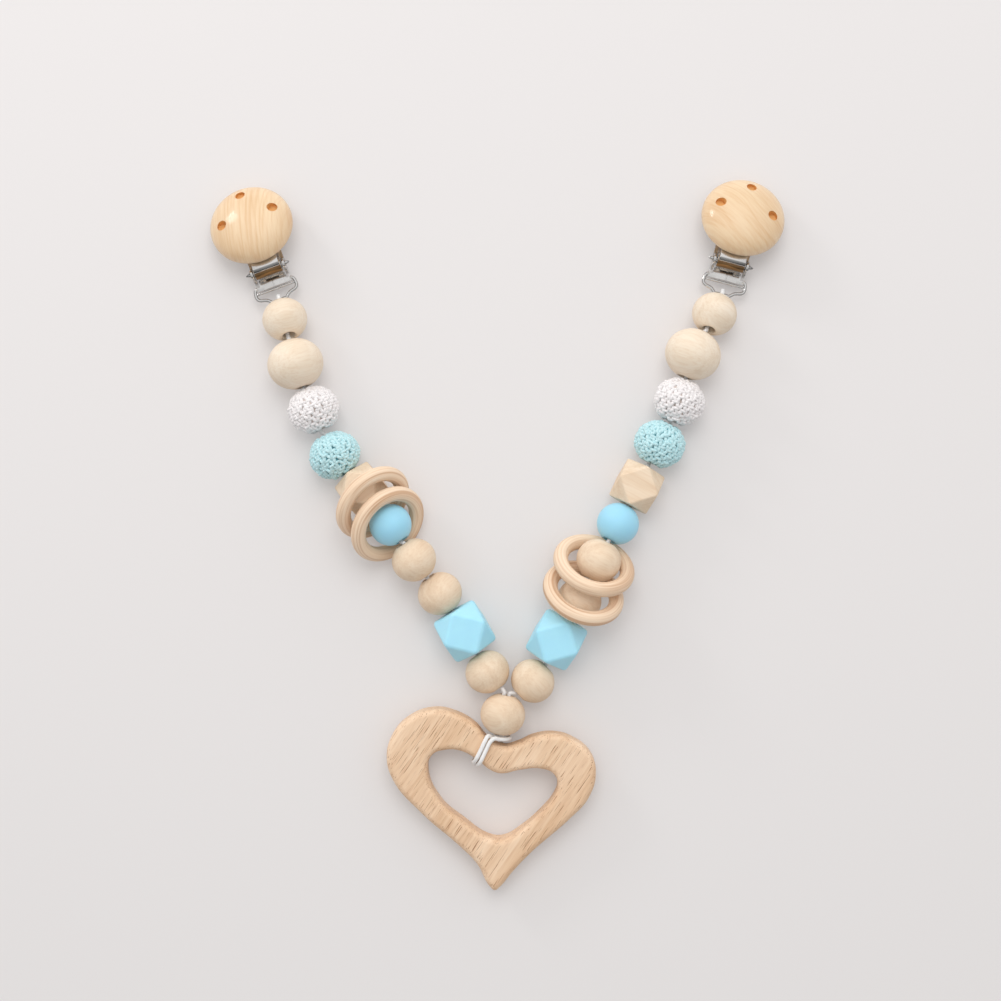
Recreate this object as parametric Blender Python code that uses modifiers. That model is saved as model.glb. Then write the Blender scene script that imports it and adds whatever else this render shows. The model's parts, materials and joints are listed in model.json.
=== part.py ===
"""Pram chain toy: a beech heart on a knotted cord, two strands of beads with loose rings, and two clips.

Run in Blender 4.5 with: blender --background --python part.py
Units are metres, +Z is up, and the toy lies on the floor plane z = 0 with its clips towards +Y.
"""

import math

import bmesh
import bpy
from mathutils import Matrix, Vector

for old in list(bpy.data.objects):
    bpy.data.objects.remove(old, do_unlink=True)

# Clearances
GAP = 0.0003
CORD_END_GAP = 0.0007
OVERRUN = 0.002

# Cord
CORD_D = 0.0015
STRAND_PITCH = 0.0020
CORD_SIDES_RES = 2
CORD_SPAN_STEPS = 2
LEAN_SHARE = 0.8
STEADY = 0.0012
MERGE = 0.000001

# Beads: diameter across the cord, length along it, and bore
HOLE_D = 0.0046
ROUND_D = 0.016
ROUND_LENGTH = 0.0148
BIG_D = 0.020
BIG_LENGTH = 0.0180
YARN_D = 0.018
YARN_LENGTH = 0.0164
SILICONE_D = 0.015
SILICONE_LENGTH = 0.0146
WOOD_CUBE = 0.0150
SILICONE_CUBE = 0.0168
FACET_EDGE = 0.0009
BEAD_STEPS = 20
BEAD_ARC_POINTS = 7

# Rings
RING_RADIUS = 0.01225
RING_TUBE_R = 0.00275
RING_STEPS = 28
RING_TUBE_STEPS = 8

# Heart
HEART_WIDTH = 0.0746
HEART_HEIGHT = 0.0651
HEART_THICK = 0.0100
HEART_EDGE_R = 0.0030

# Clip: stamped base, lever, axle, grip pad and cap
SHEET = 0.0010
BASE_W = 0.0130
BASE_REACH = 0.0235
EAR_L = 0.0066
EAR_SPREAD = 0.0129
EAR_H = 0.0066
AXLE_D = 0.0018
AXLE_L = 0.0164
AXLE_HEAD_D = 0.0027
AXLE_HEAD_L = 0.0010
AXLE_Z = 0.0046
BARREL_D = 0.0046
FLAP_REACH = 0.0030
BAR_Y = 0.0064
SHOULDER_W = 0.0159
LOOP_NECK_W = 0.0056
LOOP_REACH = 0.0109
FRAME_WIRE = 0.0014
SLOT_H = 0.0018
CAP_D = 0.0300
CAP_RISE = 0.0078
CAP_RIM = 0.0016
CAP_OUT = 0.0160
CAP_TILT = 15.0
CAP_UNDER_Z = 0.0054
CAP_HOLE_D = 0.0036
CAP_HOLE_DEEP = 0.0024
CAP_HOLE_SHARE = 0.635
CAP_HOLE_TURNS = (0.0, 88.0, -88.0)
PAD_W = 0.0100
PAD_L = 0.0085
PAD_H = 0.0010
PAD_GROOVE = 0.0004
PAD_TEETH_COUNT = 4
RIVET_D = 0.0022
RIVET_HEAD_D = 0.0046
RIVET_HEAD_L = 0.0007
RIVET_GRIP = 0.0030
PIN_STEPS = 12
BORE_STEPS = 16
CAP_STEPS = 26
CAP_ARC_POINTS = 8

# Where the shared bead lies, and how it points, in degrees to the right of +Y
SHARED_X = 0.0024
SHARED_Y = -0.0647
SHARED_HEADING = 11.0

# Each strand from the shared bead outward: bead, heading to it in degrees to the right of +Y,
# how far it is raised off the floor in shares of a round bead's diameter, and its gap in shares of GAP.
LEFT_STRAND = [
    ("wood_c", "round", -20.1, 0.0, 4.3),
    ("facet_blue", "silicone_cube", -29.0, 0.02, 3.0),
    ("wood_b", "round", -33.4, 0.07, 1.0),
    ("wood_a", "round", -36.8, 0.27, 2.2),
    ("blue", "silicone", -33.6, 0.35, 1.0),
    ("facet_wood", "wood_cube", -39.2, 0.07, 5.4),
    ("aqua", "yarn", -39.0, 0.0, 1.6),
    ("white", "yarn", -25.1, 0.0, 5.0),
    ("big", "big", -21.2, 0.0, 1.0),
    ("small", "round", -14.1, 0.0, 1.0),
]
RIGHT_STRAND = [
    ("wood_c", "round", 42.2, 0.0, 4.0),
    ("facet_blue", "silicone_cube", 29.8, 0.02, 4.2),
    ("wood_b", "round", 29.8, 0.08, 1.6),
    ("wood_a", "round", 25.0, 0.31, 5.0),
    ("blue", "silicone", 28.5, 0.16, 1.0),
    ("facet_wood", "wood_cube", 27.6, 0.02, 1.4),
    ("aqua", "yarn", 28.0, 0.0, 4.6),
    ("white", "yarn", 24.7, 0.0, 1.0),
    ("big", "big", 15.9, 0.0, 1.0),
    ("small", "round", 28.5, 0.0, 1.0),
]

# Rings: side, the bead they hang at, how far past it along and across the strand in shares of the
# ring's radius, tilt from the floor, heading of the high rim
RINGS = [
    ("left", 1, "blue", 0.822, -0.036, 54.0, -46.9),
    ("left", 2, "blue", 0.069, -0.060, 49.3, -51.2),
    ("right", 1, "wood_a", -0.191, -0.052, 51.4, 198.1),
    ("right", 2, "wood_b", 0.252, -0.008, 49.6, 200.3),
]

# Clip headings in degrees to the right of +Y, and the small bead's pitch, its heart end up
CLIP_HEADINGS = {"left": -20.3, "right": 15.0}
SMALL_PITCH = 24.0
LOOP_RUNS = {"left": 0.0084, "right": 0.0086}
LOOP_LIFT = 0.0040
LOOP_SLACK = 0.00055
LOOP_TURNS = (120.0, 75.0, 30.0, -30.0, -80.0, -128.0)

SIZES = {
    "round": (ROUND_D, ROUND_LENGTH),
    "big": (BIG_D, BIG_LENGTH),
    "yarn": (YARN_D, YARN_LENGTH),
    "silicone": (SILICONE_D, SILICONE_LENGTH),
    "wood_cube": (WOOD_CUBE, WOOD_CUBE),
    "silicone_cube": (SILICONE_CUBE, SILICONE_CUBE),
}

parts = bpy.data.collections.new("pram_chain_toy")
cutters = bpy.data.collections.new("cutters")
for made in (parts, cutters):
    bpy.context.scene.collection.children.link(made)


def material(name, colour, roughness, metallic=0.0):
    """A plain Principled material."""
    made = bpy.data.materials.new(name)
    made.use_nodes = True
    shader = made.node_tree.nodes["Principled BSDF"]
    shader.inputs["Base Color"].default_value = (*colour, 1.0)
    shader.inputs["Roughness"].default_value = roughness
    shader.inputs["Metallic"].default_value = metallic
    return made


BEAD_WOOD = material("bead_wood", (0.80, 0.62, 0.42), 0.6)
HEART_WOOD = material("beech", (0.66, 0.42, 0.24), 0.5)
CAP_WOOD = material("lacquered_wood", (0.78, 0.55, 0.30), 0.3)
BLUE = material("blue_silicone", (0.30, 0.65, 0.86), 0.6)
AQUA = material("aqua_cotton", (0.38, 0.72, 0.76), 0.95)
WHITE = material("white_cotton", (0.80, 0.77, 0.79), 0.95)
CORD = material("white_cord", (0.86, 0.86, 0.84), 0.8)
STEEL = material("nickel_steel", (0.72, 0.72, 0.72), 0.25, 1.0)
PLASTIC = material("grip_plastic", (0.80, 0.82, 0.82), 0.4)
FINISH = {
    "round": BEAD_WOOD,
    "big": BEAD_WOOD,
    "wood_cube": BEAD_WOOD,
    "silicone": BLUE,
    "silicone_cube": BLUE,
    "aqua": AQUA,
    "white": WHITE,
}


def add(name, mesh, finish, place=None, into=parts):
    """An object of a mesh, at a matrix, in a collection."""
    made = bpy.data.objects.new(name, mesh)
    into.objects.link(made)
    if finish is not None:
        mesh.materials.append(finish)
    if place is not None:
        made.matrix_world = place
    if into is cutters:
        made.hide_render = True
        made.display_type = "WIRE"
    return made


def frame(centre, forward, up_hint=Vector((0, 0, 1))):
    """A matrix at a point whose Z runs along forward and whose X lies level."""
    z = forward.normalized()
    x = up_hint.cross(z).normalized()
    y = z.cross(x)
    turned = Matrix((x, y, z)).transposed().to_4x4()
    return Matrix.Translation(centre) @ turned


def heading(degrees):
    """The level direction at an angle to the right of +Y."""
    angle = math.radians(degrees)
    return Vector((math.sin(angle), math.cos(angle), 0))


def profile_mesh(name, profile, closed=False):
    """A profile in the XZ plane, to be turned about Z; an open one starts and ends on the axis."""
    mesh = bpy.data.meshes.new(name)
    bm = bmesh.new()
    verts = [bm.verts.new((x, 0, z)) for x, z in profile]
    ends = verts[1:] + verts[:1] if closed else verts[1:]
    for a, b in zip(verts, ends):
        bm.edges.new((a, b))
    bm.to_mesh(mesh)
    bm.free()
    return mesh


def screw(made, steps):
    """Turns a profile right round its own Z."""
    turn = made.modifiers.new("turn", "SCREW")
    turn.axis = "Z"
    turn.steps = steps
    turn.render_steps = steps
    turn.use_merge_vertices = True
    turn.merge_threshold = 10 * MERGE
    return made


def boolean(made, cutter, operation, solver="EXACT"):
    """Joins or cuts a solid with a cutter."""
    cut = made.modifiers.new("cut", "BOOLEAN")
    cut.operation = operation
    cut.solver = solver
    cut.object = cutter
    return made


def round_bead(name, kind, finish, place):
    """An oblate bead with a straight bore, turned."""
    across, along = SIZES[kind]
    start = math.acos(HOLE_D / across)
    profile = []
    for i in range(BEAD_ARC_POINTS):
        t = start * (1 - 2 * i / (BEAD_ARC_POINTS - 1))
        profile.append((across / 2 * math.cos(t), along / 2 * math.sin(t)))
    made = add(name, profile_mesh(name, profile, True), finish, place)
    return screw(made, BEAD_STEPS)


def cylinder(name, diameter, length, steps, finish=None, place=None, into=cutters):
    """A capped cylinder along Z, centred."""
    mesh = bpy.data.meshes.new(name)
    bm = bmesh.new()
    bmesh.ops.create_cone(
        bm, cap_ends=True, segments=steps, radius1=diameter / 2, radius2=diameter / 2, depth=length
    )
    bm.to_mesh(mesh)
    bm.free()
    return add(name, mesh, finish, place, into)


def box(name, low, high, finish=None, place=None, into=cutters):
    """A box between two corners."""
    mesh = bpy.data.meshes.new(name)
    bm = bmesh.new()
    size = Vector(high) - Vector(low)
    middle = (Vector(high) + Vector(low)) / 2
    bmesh.ops.create_cube(bm, size=1.0, matrix=Matrix.Translation(middle) @ Matrix.Diagonal((*size, 1)))
    bm.to_mesh(mesh)
    bm.free()
    return add(name, mesh, finish, place, into)


def faceted_bead(name, kind, finish, place):
    """A cube cut at each corner through the middles of its edges, with softened edges and a bore."""
    half = SIZES[kind][0] / 2
    mesh = bpy.data.meshes.new(name)
    bm = bmesh.new()
    for a in (-half, half):
        for b in (-half, half):
            for corner in ((a, b, 0), (a, 0, b), (0, a, b)):
                bm.verts.new(corner)
    bmesh.ops.convex_hull(bm, input=bm.verts)
    bmesh.ops.dissolve_limit(bm, angle_limit=math.radians(1), verts=bm.verts, edges=bm.edges)
    bm.to_mesh(mesh)
    bm.free()
    made = add(name, mesh, finish, place)
    soft = made.modifiers.new("soft", "BEVEL")
    soft.width = FACET_EDGE
    soft.segments = 2
    bore = cylinder(name + "_bore", HOLE_D, 2 * half + 2 * OVERRUN, BEAD_STEPS, None, place)
    return boolean(made, bore, "DIFFERENCE")


def mesh_from_curve(made):
    """The curve's tube as a mesh object with its caps welded on."""
    bpy.context.view_layer.update()
    seen = made.evaluated_get(bpy.context.evaluated_depsgraph_get())
    mesh = bpy.data.meshes.new_from_object(seen)
    bm = bmesh.new()
    bm.from_mesh(mesh)
    bmesh.ops.remove_doubles(bm, verts=bm.verts, dist=MERGE)
    bmesh.ops.recalc_face_normals(bm, faces=bm.faces)
    bm.to_mesh(mesh)
    bm.free()
    solid = bpy.data.objects.new(made.name, mesh)
    solid.matrix_world = made.matrix_world
    name = made.name
    bpy.data.objects.remove(made, do_unlink=True)
    solid.name = name
    return solid


def smooth_route(points, per_span):
    """Points on a centripetal Catmull-Rom curve through a route's own points."""
    points = [Vector(p) for p in points]
    route = [points[0] * 2 - points[1], *points, points[-1] * 2 - points[-2]]
    out = []
    for p0, p1, p2, p3 in zip(route, route[1:], route[2:], route[3:]):
        t1 = math.sqrt((p1 - p0).length)
        t2 = t1 + math.sqrt((p2 - p1).length)
        t3 = t2 + math.sqrt((p3 - p2).length)
        for i in range(per_span):
            t = t1 + (t2 - t1) * i / per_span
            a1 = p0.lerp(p1, t / t1)
            a2 = p1.lerp(p2, (t - t1) / (t2 - t1))
            a3 = p2.lerp(p3, (t - t2) / (t3 - t2))
            b1 = a1.lerp(a2, t / t2)
            b2 = a2.lerp(a3, (t - t1) / (t3 - t1))
            out.append(b1.lerp(b2, (t - t1) / (t2 - t1)))
    return [*out, points[-1]]


def cord(name, points):
    """A cord along a route."""
    curve = bpy.data.curves.new(name, "CURVE")
    curve.dimensions = "3D"
    curve.bevel_depth = CORD_D / 2
    curve.bevel_resolution = CORD_SIDES_RES
    curve.use_fill_caps = True
    line = curve.splines.new("POLY")
    line.points.add(len(points) - 1)
    for spot, p in zip(line.points, points):
        spot.co = (*p, 1)
    curve.materials.append(CORD)
    made = bpy.data.objects.new(name, curve)
    parts.objects.link(made)
    return made


def along(kind):
    """How long a kind of bead is along the cord."""
    return SIZES[kind][1]


def bead_name(side, name):
    """A bead's own name."""
    return f"{side}_{name}_bead"


# The shared bead, its axis, and the mouths of its bore
SHARED_LIFT_SHARE = 0.09
shared = Vector((SHARED_X, SHARED_Y, ROUND_D / 2 + SHARED_LIFT_SHARE * ROUND_D))
shared_axis = heading(SHARED_HEADING)
shared_side = heading(SHARED_HEADING + 90.0)
upper_mouth = shared + shared_axis * ROUND_LENGTH / 2
lower_mouth = shared - shared_axis * ROUND_LENGTH / 2
round_bead("shared_bead", "round", BEAD_WOOD, frame(shared, shared_axis))

# The two strands through the shared bead, side by side
UPPER_INSET = 0.0015
LOWER_INSET = 0.0024
for side, sign in (("left", -1), ("right", 1)):
    offset = shared_side * (sign * STRAND_PITCH / 2)
    cord(
        f"{side}_cord_0",
        [
            lower_mouth + offset + shared_axis * LOWER_INSET,
            upper_mouth + offset - shared_axis * UPPER_INSET,
        ],
    )


def strand_places(rows):
    """Centres of a strand's beads, each a gap beyond the one before."""
    centres = []
    before, before_kind = shared, "round"
    for name, kind, turn, lift_share, gap_share in rows:
        reach = (along(before_kind) + along(kind)) / 2 + GAP * gap_share
        height = SIZES[kind][0] / 2 + lift_share * ROUND_D
        rise = height - before.z
        run = math.sqrt(reach**2 - rise**2)
        centre = before + heading(turn) * run
        centre.z = height
        centres.append(centre)
        before, before_kind = centre, kind
    return centres


def strand_axes(rows, centres, clip_turn):
    """Each bead's axis, half way between the cord before it and the cord after it."""
    axes = []
    spots = [upper_mouth, *centres]
    for i, centre in enumerate(centres):
        come = (centre - spots[i]).normalized()
        if i + 1 < len(centres):
            go = (centres[i + 1] - centre).normalized()
            axes.append((come + go).normalized())
        else:
            level = (heading(rows[i][2]) + heading(clip_turn)).normalized()
            pitch = math.radians(SMALL_PITCH)
            axes.append(level * math.cos(pitch) - Vector((0, 0, math.sin(pitch))))
    return axes


def leaning(mouth, axis, target):
    """A cord's points at a mouth, inner one first, moved towards where the cord goes next.

    The axis points into the bore. A cord that turns at the mouth is kept straight just inside it.
    """
    aside = target - mouth
    aside -= axis * aside.dot(axis)
    play = LEAN_SHARE * ((HOLE_D - CORD_D) / 2 - GAP)
    if aside.length <= play:
        return [mouth + aside]
    inner = mouth + aside.normalized() * play
    return [inner + axis * STEADY, inner]


def link_cords(side, rows, centres, axes):
    """One cord from each bend to the next, straight through a faceted bead."""
    start_offset = shared_side * (STRAND_PITCH / 2 * (-1 if side == "left" else 1))
    exit_point = upper_mouth + start_offset + shared_axis * CORD_D / 4
    route = [upper_mouth + start_offset - shared_axis * (UPPER_INSET - CORD_END_GAP), exit_point]
    halves = [axis * (along(row[1]) / 2) for row, axis in zip(rows, axes)]
    number = 1
    for i, (name, kind, *_rest) in enumerate(rows):
        inward = centres[i] - halves[i]
        outward = centres[i] + halves[i]
        if i:
            entry = leaning(inward, axes[i], centres[i - 1] + halves[i - 1])
        else:
            entry = leaning(inward, axes[i], exit_point + shared_axis * CORD_D)
        leave = []
        if i + 1 < len(rows):
            leave = leaning(outward, -axes[i], centres[i + 1] - halves[i + 1])
        route += reversed(entry)
        if kind.endswith("cube"):
            route += [centres[i], *leave]
            continue
        route.append(centres[i] - axes[i] * (CORD_END_GAP / 2))
        cord(f"{side}_cord_{number}", smooth_route(route, CORD_SPAN_STEPS))
        number += 1
        route = [centres[i] + axes[i] * (CORD_END_GAP / 2), *leave]


strands = {}
for side, rows, clip_turn in (
    ("left", LEFT_STRAND, CLIP_HEADINGS["left"]),
    ("right", RIGHT_STRAND, CLIP_HEADINGS["right"]),
):
    centres = strand_places(rows)
    axes = strand_axes(rows, centres, clip_turn)
    strands[side] = (rows, centres, axes)
    for (name, kind, *_rest), centre, axis in zip(rows, centres, axes):
        finish = FINISH.get(name, FINISH.get(kind))
        place = frame(centre, axis)
        if kind.endswith("cube"):
            faceted_bead(bead_name(side, name), kind, finish, place)
        else:
            round_bead(bead_name(side, name), kind, finish, place)
    link_cords(side, rows, centres, axes)


def ring(name, side, bead, along_share, across_share, tilt, high_turn):
    """A wooden ring leaning round the strand, its low rim on the floor."""
    rows, centres, axes = strands[side]
    at = [row[0] for row in rows].index(bead)
    level = Vector((axes[at].x, axes[at].y, 0)).normalized()
    across = Vector((level.y, -level.x, 0))
    centre = centres[at] + level * (along_share * RING_RADIUS) + across * (across_share * RING_RADIUS)
    lean = math.radians(tilt)
    centre.z = RING_RADIUS * math.sin(lean) + RING_TUBE_R
    toward = heading(high_turn)
    normal = Vector((0, 0, math.cos(lean))) - toward * math.sin(lean)
    turn = frame(centre, normal, toward)
    bpy.ops.mesh.primitive_torus_add(
        major_segments=RING_STEPS,
        minor_segments=RING_TUBE_STEPS,
        major_radius=RING_RADIUS,
        minor_radius=RING_TUBE_R,
    )
    made = bpy.context.object
    made.name = name
    made.data.name = name
    for home in list(made.users_collection):
        home.objects.unlink(made)
    parts.objects.link(made)
    made.data.materials.append(BEAD_WOOD)
    made.matrix_world = turn
    return centre


for side, number, bead, along_share, across_share, tilt, high_turn in RINGS:
    ring(f"{side}_ring_{number}", side, bead, along_share, across_share, tilt, high_turn)

# Heart: outlines as shares of its width and height, from its left edge and its top
HEART_OUTER_SHARES = [
    (0.000, 0.256), (0.030, 0.139), (0.110, 0.045), (0.227, 0.000), (0.330, 0.021), (0.425, 0.084),
    (0.484, 0.160), (0.557, 0.203), (0.630, 0.186), (0.700, 0.150), (0.800, 0.135), (0.890, 0.165),
    (0.974, 0.244), (1.000, 0.345), (0.965, 0.490), (0.879, 0.601), (0.696, 0.785), (0.600, 0.900),
    (0.545, 0.985), (0.517, 1.000), (0.485, 0.975), (0.432, 0.855), (0.352, 0.760), (0.161, 0.568),
    (0.030, 0.391),
]
HEART_INNER_SHARES = [
    (0.197, 0.324), (0.220, 0.250), (0.275, 0.225), (0.350, 0.228), (0.430, 0.280), (0.498, 0.345),
    (0.553, 0.364), (0.640, 0.342), (0.740, 0.328), (0.800, 0.360), (0.817, 0.416), (0.800, 0.475),
    (0.740, 0.560), (0.640, 0.660), (0.560, 0.712), (0.495, 0.708), (0.374, 0.618), (0.250, 0.490),
]
# The heart is placed by its notch, so that the cord's turns stay on its bar
NOTCH_X = 0.00255
NOTCH_Y = -0.07572
NOTCH_ACROSS_SHARE = 0.557
NOTCH_DOWN_SHARE = 0.203
HEART_LEFT = NOTCH_X - NOTCH_ACROSS_SHARE * HEART_WIDTH
HEART_TOP = NOTCH_Y + NOTCH_DOWN_SHARE * HEART_HEIGHT
HEART_CURVE_RES = 3
HEART_EDGE_RES = 2

curve = bpy.data.curves.new("heart", "CURVE")
curve.dimensions = "2D"
curve.fill_mode = "BOTH"
curve.resolution_u = HEART_CURVE_RES
curve.extrude = HEART_THICK / 2 - HEART_EDGE_R
curve.bevel_depth = HEART_EDGE_R
curve.bevel_resolution = HEART_EDGE_RES
curve.offset = -HEART_EDGE_R
for shares in (HEART_OUTER_SHARES, HEART_INNER_SHARES):
    loop = curve.splines.new("BEZIER")
    loop.bezier_points.add(len(shares) - 1)
    loop.use_cyclic_u = True
    for spot, (x_share, y_share) in zip(loop.bezier_points, shares):
        spot.co = (HEART_LEFT + x_share * HEART_WIDTH, HEART_TOP - y_share * HEART_HEIGHT, 0)
        spot.handle_left_type = "AUTO"
        spot.handle_right_type = "AUTO"
heart = bpy.data.objects.new("heart", curve)
parts.objects.link(heart)

# The heart's bar lies on the cord under it, and its tip on the floor
BAR_SHARE = 0.24
bar_y = HEART_TOP - BAR_SHARE * HEART_HEIGHT
tip_y = HEART_TOP - HEART_HEIGHT
bar_under = CORD_D + 2 * GAP
lean = math.asin(bar_under / (bar_y - tip_y))
middle = Vector((0, bar_y, bar_under + HEART_THICK / 2))
heart.matrix_world = (
    Matrix.Translation(middle)
    @ Matrix.Rotation(lean, 4, "X")
    @ Matrix.Translation(Vector((0, -bar_y, 0)))
)
heart = mesh_from_curve(heart)
parts.objects.link(heart)
heart.data.materials.append(HEART_WOOD)
heart.data.set_sharp_from_angle(angle=math.radians(40))

# The hitch: two turns over the heart's bar, a hand-chosen route that starts and ends in the shared bead.
# It was drawn for one heart, and stretches from the notch and the floor with the heart's own size.
DRAWN_WIDTH = 0.0746
DRAWN_HEIGHT = 0.0651
DRAWN_THICK = 0.0100
DRAWN_LOW = 0.00085
left_mouth = lower_mouth - shared_side * STRAND_PITCH / 2
left_foot = left_mouth + shared_axis * (LOWER_INSET - CORD_END_GAP)
right_mouth = lower_mouth + shared_side * STRAND_PITCH / 2
right_foot = right_mouth + shared_axis * (LOWER_INSET - CORD_END_GAP)
HITCH_ROUTE = [
    (-0.0004, -0.0732, 0.0112),
    (-0.0022, -0.0748, 0.0129),
    (-0.0048, -0.0778, 0.0131),
    (-0.0072, -0.0806, 0.0126),
    (-0.0085, -0.0825, 0.0098),
    (-0.0086, -0.0827, 0.0055),
    (-0.0074, -0.0820, 0.0017),
    (-0.0044, -0.0799, 0.00085),
    (-0.0018, -0.0774, 0.00085),
    (-0.0004, -0.0750, 0.00085),
    (0.0004, -0.0728, 0.0009),
    (0.0023, -0.0712, 0.0014),
    (0.0045, -0.0718, 0.0034),
    (0.0058, -0.0736, 0.0066),
    (0.0056, -0.0743, 0.0103),
    (0.0038, -0.0752, 0.0129),
    (0.0008, -0.0764, 0.0134),
    (-0.0018, -0.0790, 0.0133),
    (-0.0042, -0.0820, 0.0126),
    (-0.0055, -0.0843, 0.0096),
    (-0.0054, -0.0845, 0.0054),
    (-0.0042, -0.0832, 0.0016),
    (-0.0012, -0.0802, 0.00085),
    (0.0010, -0.0772, 0.00085),
    (0.0022, -0.0752, 0.0016),
    (0.0025, -0.0742, 0.0044),
    (0.0022, -0.0734, 0.0072),
]
across_stretch = HEART_WIDTH / DRAWN_WIDTH
down_stretch = HEART_HEIGHT / DRAWN_HEIGHT
lift_stretch = (bar_under + HEART_THICK) / (bar_under + DRAWN_THICK)
hitch = [left_foot, left_mouth]
for x, y, z in HITCH_ROUTE:
    hitch.append(
        Vector(
            (
                NOTCH_X + (x - NOTCH_X) * across_stretch,
                NOTCH_Y + (y - NOTCH_Y) * down_stretch,
                DRAWN_LOW + (z - DRAWN_LOW) * lift_stretch,
            )
        )
    )
hitch += [right_mouth, right_foot]
hitch_line = smooth_route(hitch, CORD_SPAN_STEPS)
cord("heart_hitch_cord", hitch_line)


def least_gap(line, skip):
    """The least gap of a cord to itself, between points more than skip apart along it."""
    run = [0.0]
    for a, b in zip(line, line[1:]):
        run.append(run[-1] + (b - a).length)
    return min(
        (a - b).length - CORD_D
        for i, a in enumerate(line)
        for j, b in enumerate(line[i + 1 :], i + 1)
        if run[j] - run[i] > skip
    )


print("least gap of the hitch cord to itself, mm:", round(1000 * least_gap(hitch_line, 4 * CORD_D), 2))


# Clips
NOSE_SHARE = 0.6
WAIST_SHARE = 0.25
HOLE_WAIST_SHARE = 0.3
ear_inner = EAR_SPREAD / 2 - SHEET
lever_w = 2 * (ear_inner - GAP)
axle_y = LOOP_REACH - FRAME_WIRE / 2
bar_y_local = axle_y - BAR_Y
base_end = axle_y + BASE_REACH
clip_tilt = math.asin(LOOP_LIFT / (base_end + FRAME_WIRE / 2))
pin_hole = AXLE_D / 2 + GAP


def outline(name, loops, thick):
    """A flat 2D outline with holes, extruded about its own plane."""
    flat = bpy.data.curves.new(name, "CURVE")
    flat.dimensions = "2D"
    flat.fill_mode = "BOTH"
    flat.extrude = thick / 2
    for loop in loops:
        edge = flat.splines.new("POLY")
        edge.points.add(len(loop) - 1)
        edge.use_cyclic_u = True
        for spot, (x, y) in zip(edge.points, loop):
            spot.co = (x, y, 0, 1)
    made = bpy.data.objects.new(name, flat)
    bpy.context.scene.collection.objects.link(made)
    return made


def mirrored(half):
    """A loop from its right half, listed from one end to the other."""
    return half + [(-x, y) for x, y in reversed(half)]


def clip_base(side, place):
    """The stamped base: jaw plate, ribbon slot, cord loop and two ears for the axle."""
    slot_low = bar_y_local + FRAME_WIRE / 2
    slot_high = slot_low + SLOT_H
    shoulder = SHOULDER_W / 2
    neck = LOOP_NECK_W / 2
    hole_low = FRAME_WIRE / 2
    hole_high = bar_y_local - FRAME_WIRE / 2
    mid = (hole_low + hole_high) / 2
    outer = mirrored(
        [
            (neck * NOSE_SHARE, -FRAME_WIRE / 2),
            (neck, 0),
            (neck, hole_low),
            (neck + (shoulder - neck) * WAIST_SHARE, mid),
            (shoulder, hole_high),
            (shoulder, slot_high),
            (BASE_W / 2, slot_high + FRAME_WIRE),
            (BASE_W / 2, base_end - SHEET),
            (BASE_W / 2 - SHEET, base_end),
        ]
    )
    hole_neck = neck - SHEET
    hole_shoulder = shoulder - FRAME_WIRE
    loop_hole = mirrored(
        [
            (hole_neck, hole_low),
            (hole_neck + (hole_shoulder - hole_neck) * HOLE_WAIST_SHARE, mid),
            (hole_shoulder, hole_high),
        ]
    )
    slot = mirrored([(shoulder - SHEET, slot_low), (shoulder - SHEET, slot_high)])
    plate = outline(f"{side}_clip_base", [outer, loop_hole, slot], SHEET)
    plate.matrix_world = place @ Matrix.Translation(Vector((0, 0, SHEET / 2)))
    made = mesh_from_curve(plate)
    parts.objects.link(made)
    made.data.materials.append(STEEL)
    for sign in (-1, 1):
        edges = sorted((sign * ear_inner, sign * (ear_inner + SHEET)))
        ear = box(
            f"{side}_ear_{'left' if sign < 0 else 'right'}",
            (edges[0], axle_y - EAR_L / 2, SHEET / 2),
            (edges[1], axle_y + EAR_L / 2, EAR_H),
            None,
            place,
        )
        boolean(made, ear, "UNION", "MANIFOLD")
    boolean(made, axle_bore(f"{side}_ear_bore", place), "DIFFERENCE", "MANIFOLD")
    return made


def axle_line(place):
    """The middle of the axle, with its Z across the clip."""
    turn = Matrix.Rotation(math.radians(90), 4, "Y")
    return place @ Matrix.Translation(Vector((0, axle_y, AXLE_Z))) @ turn


def axle_bore(name, place):
    """The hole that the axle turns in, right across the clip."""
    return cylinder(name, 2 * pin_hole, BASE_W + 2 * OVERRUN, BORE_STEPS, None, axle_line(place))


def clip_axle(side, place):
    """The axle with a round head outside each ear."""
    head_from = EAR_SPREAD / 2 + GAP
    end = AXLE_L / 2
    profile = [
        (0, end),
        (AXLE_HEAD_D / 4, end),
        (AXLE_HEAD_D / 2, (end + head_from) / 2),
        (AXLE_HEAD_D / 2, head_from),
        (AXLE_D / 2, head_from),
        (AXLE_D / 2, -head_from),
        (AXLE_HEAD_D / 2, -head_from),
        (AXLE_HEAD_D / 2, -(end + head_from) / 2),
        (AXLE_HEAD_D / 4, -end),
        (0, -end),
    ]
    mesh = profile_mesh(f"{side}_clip_axle", profile)
    return screw(add(f"{side}_clip_axle", mesh, STEEL, axle_line(place)), PIN_STEPS)


def cap_place(place):
    """The middle of the cap's flat underside, with its Z out of the dome."""
    tilt = Matrix.Rotation(-math.radians(CAP_TILT), 4, "X")
    return place @ Matrix.Translation(Vector((0, axle_y + CAP_OUT, CAP_UNDER_Z))) @ tilt


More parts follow.
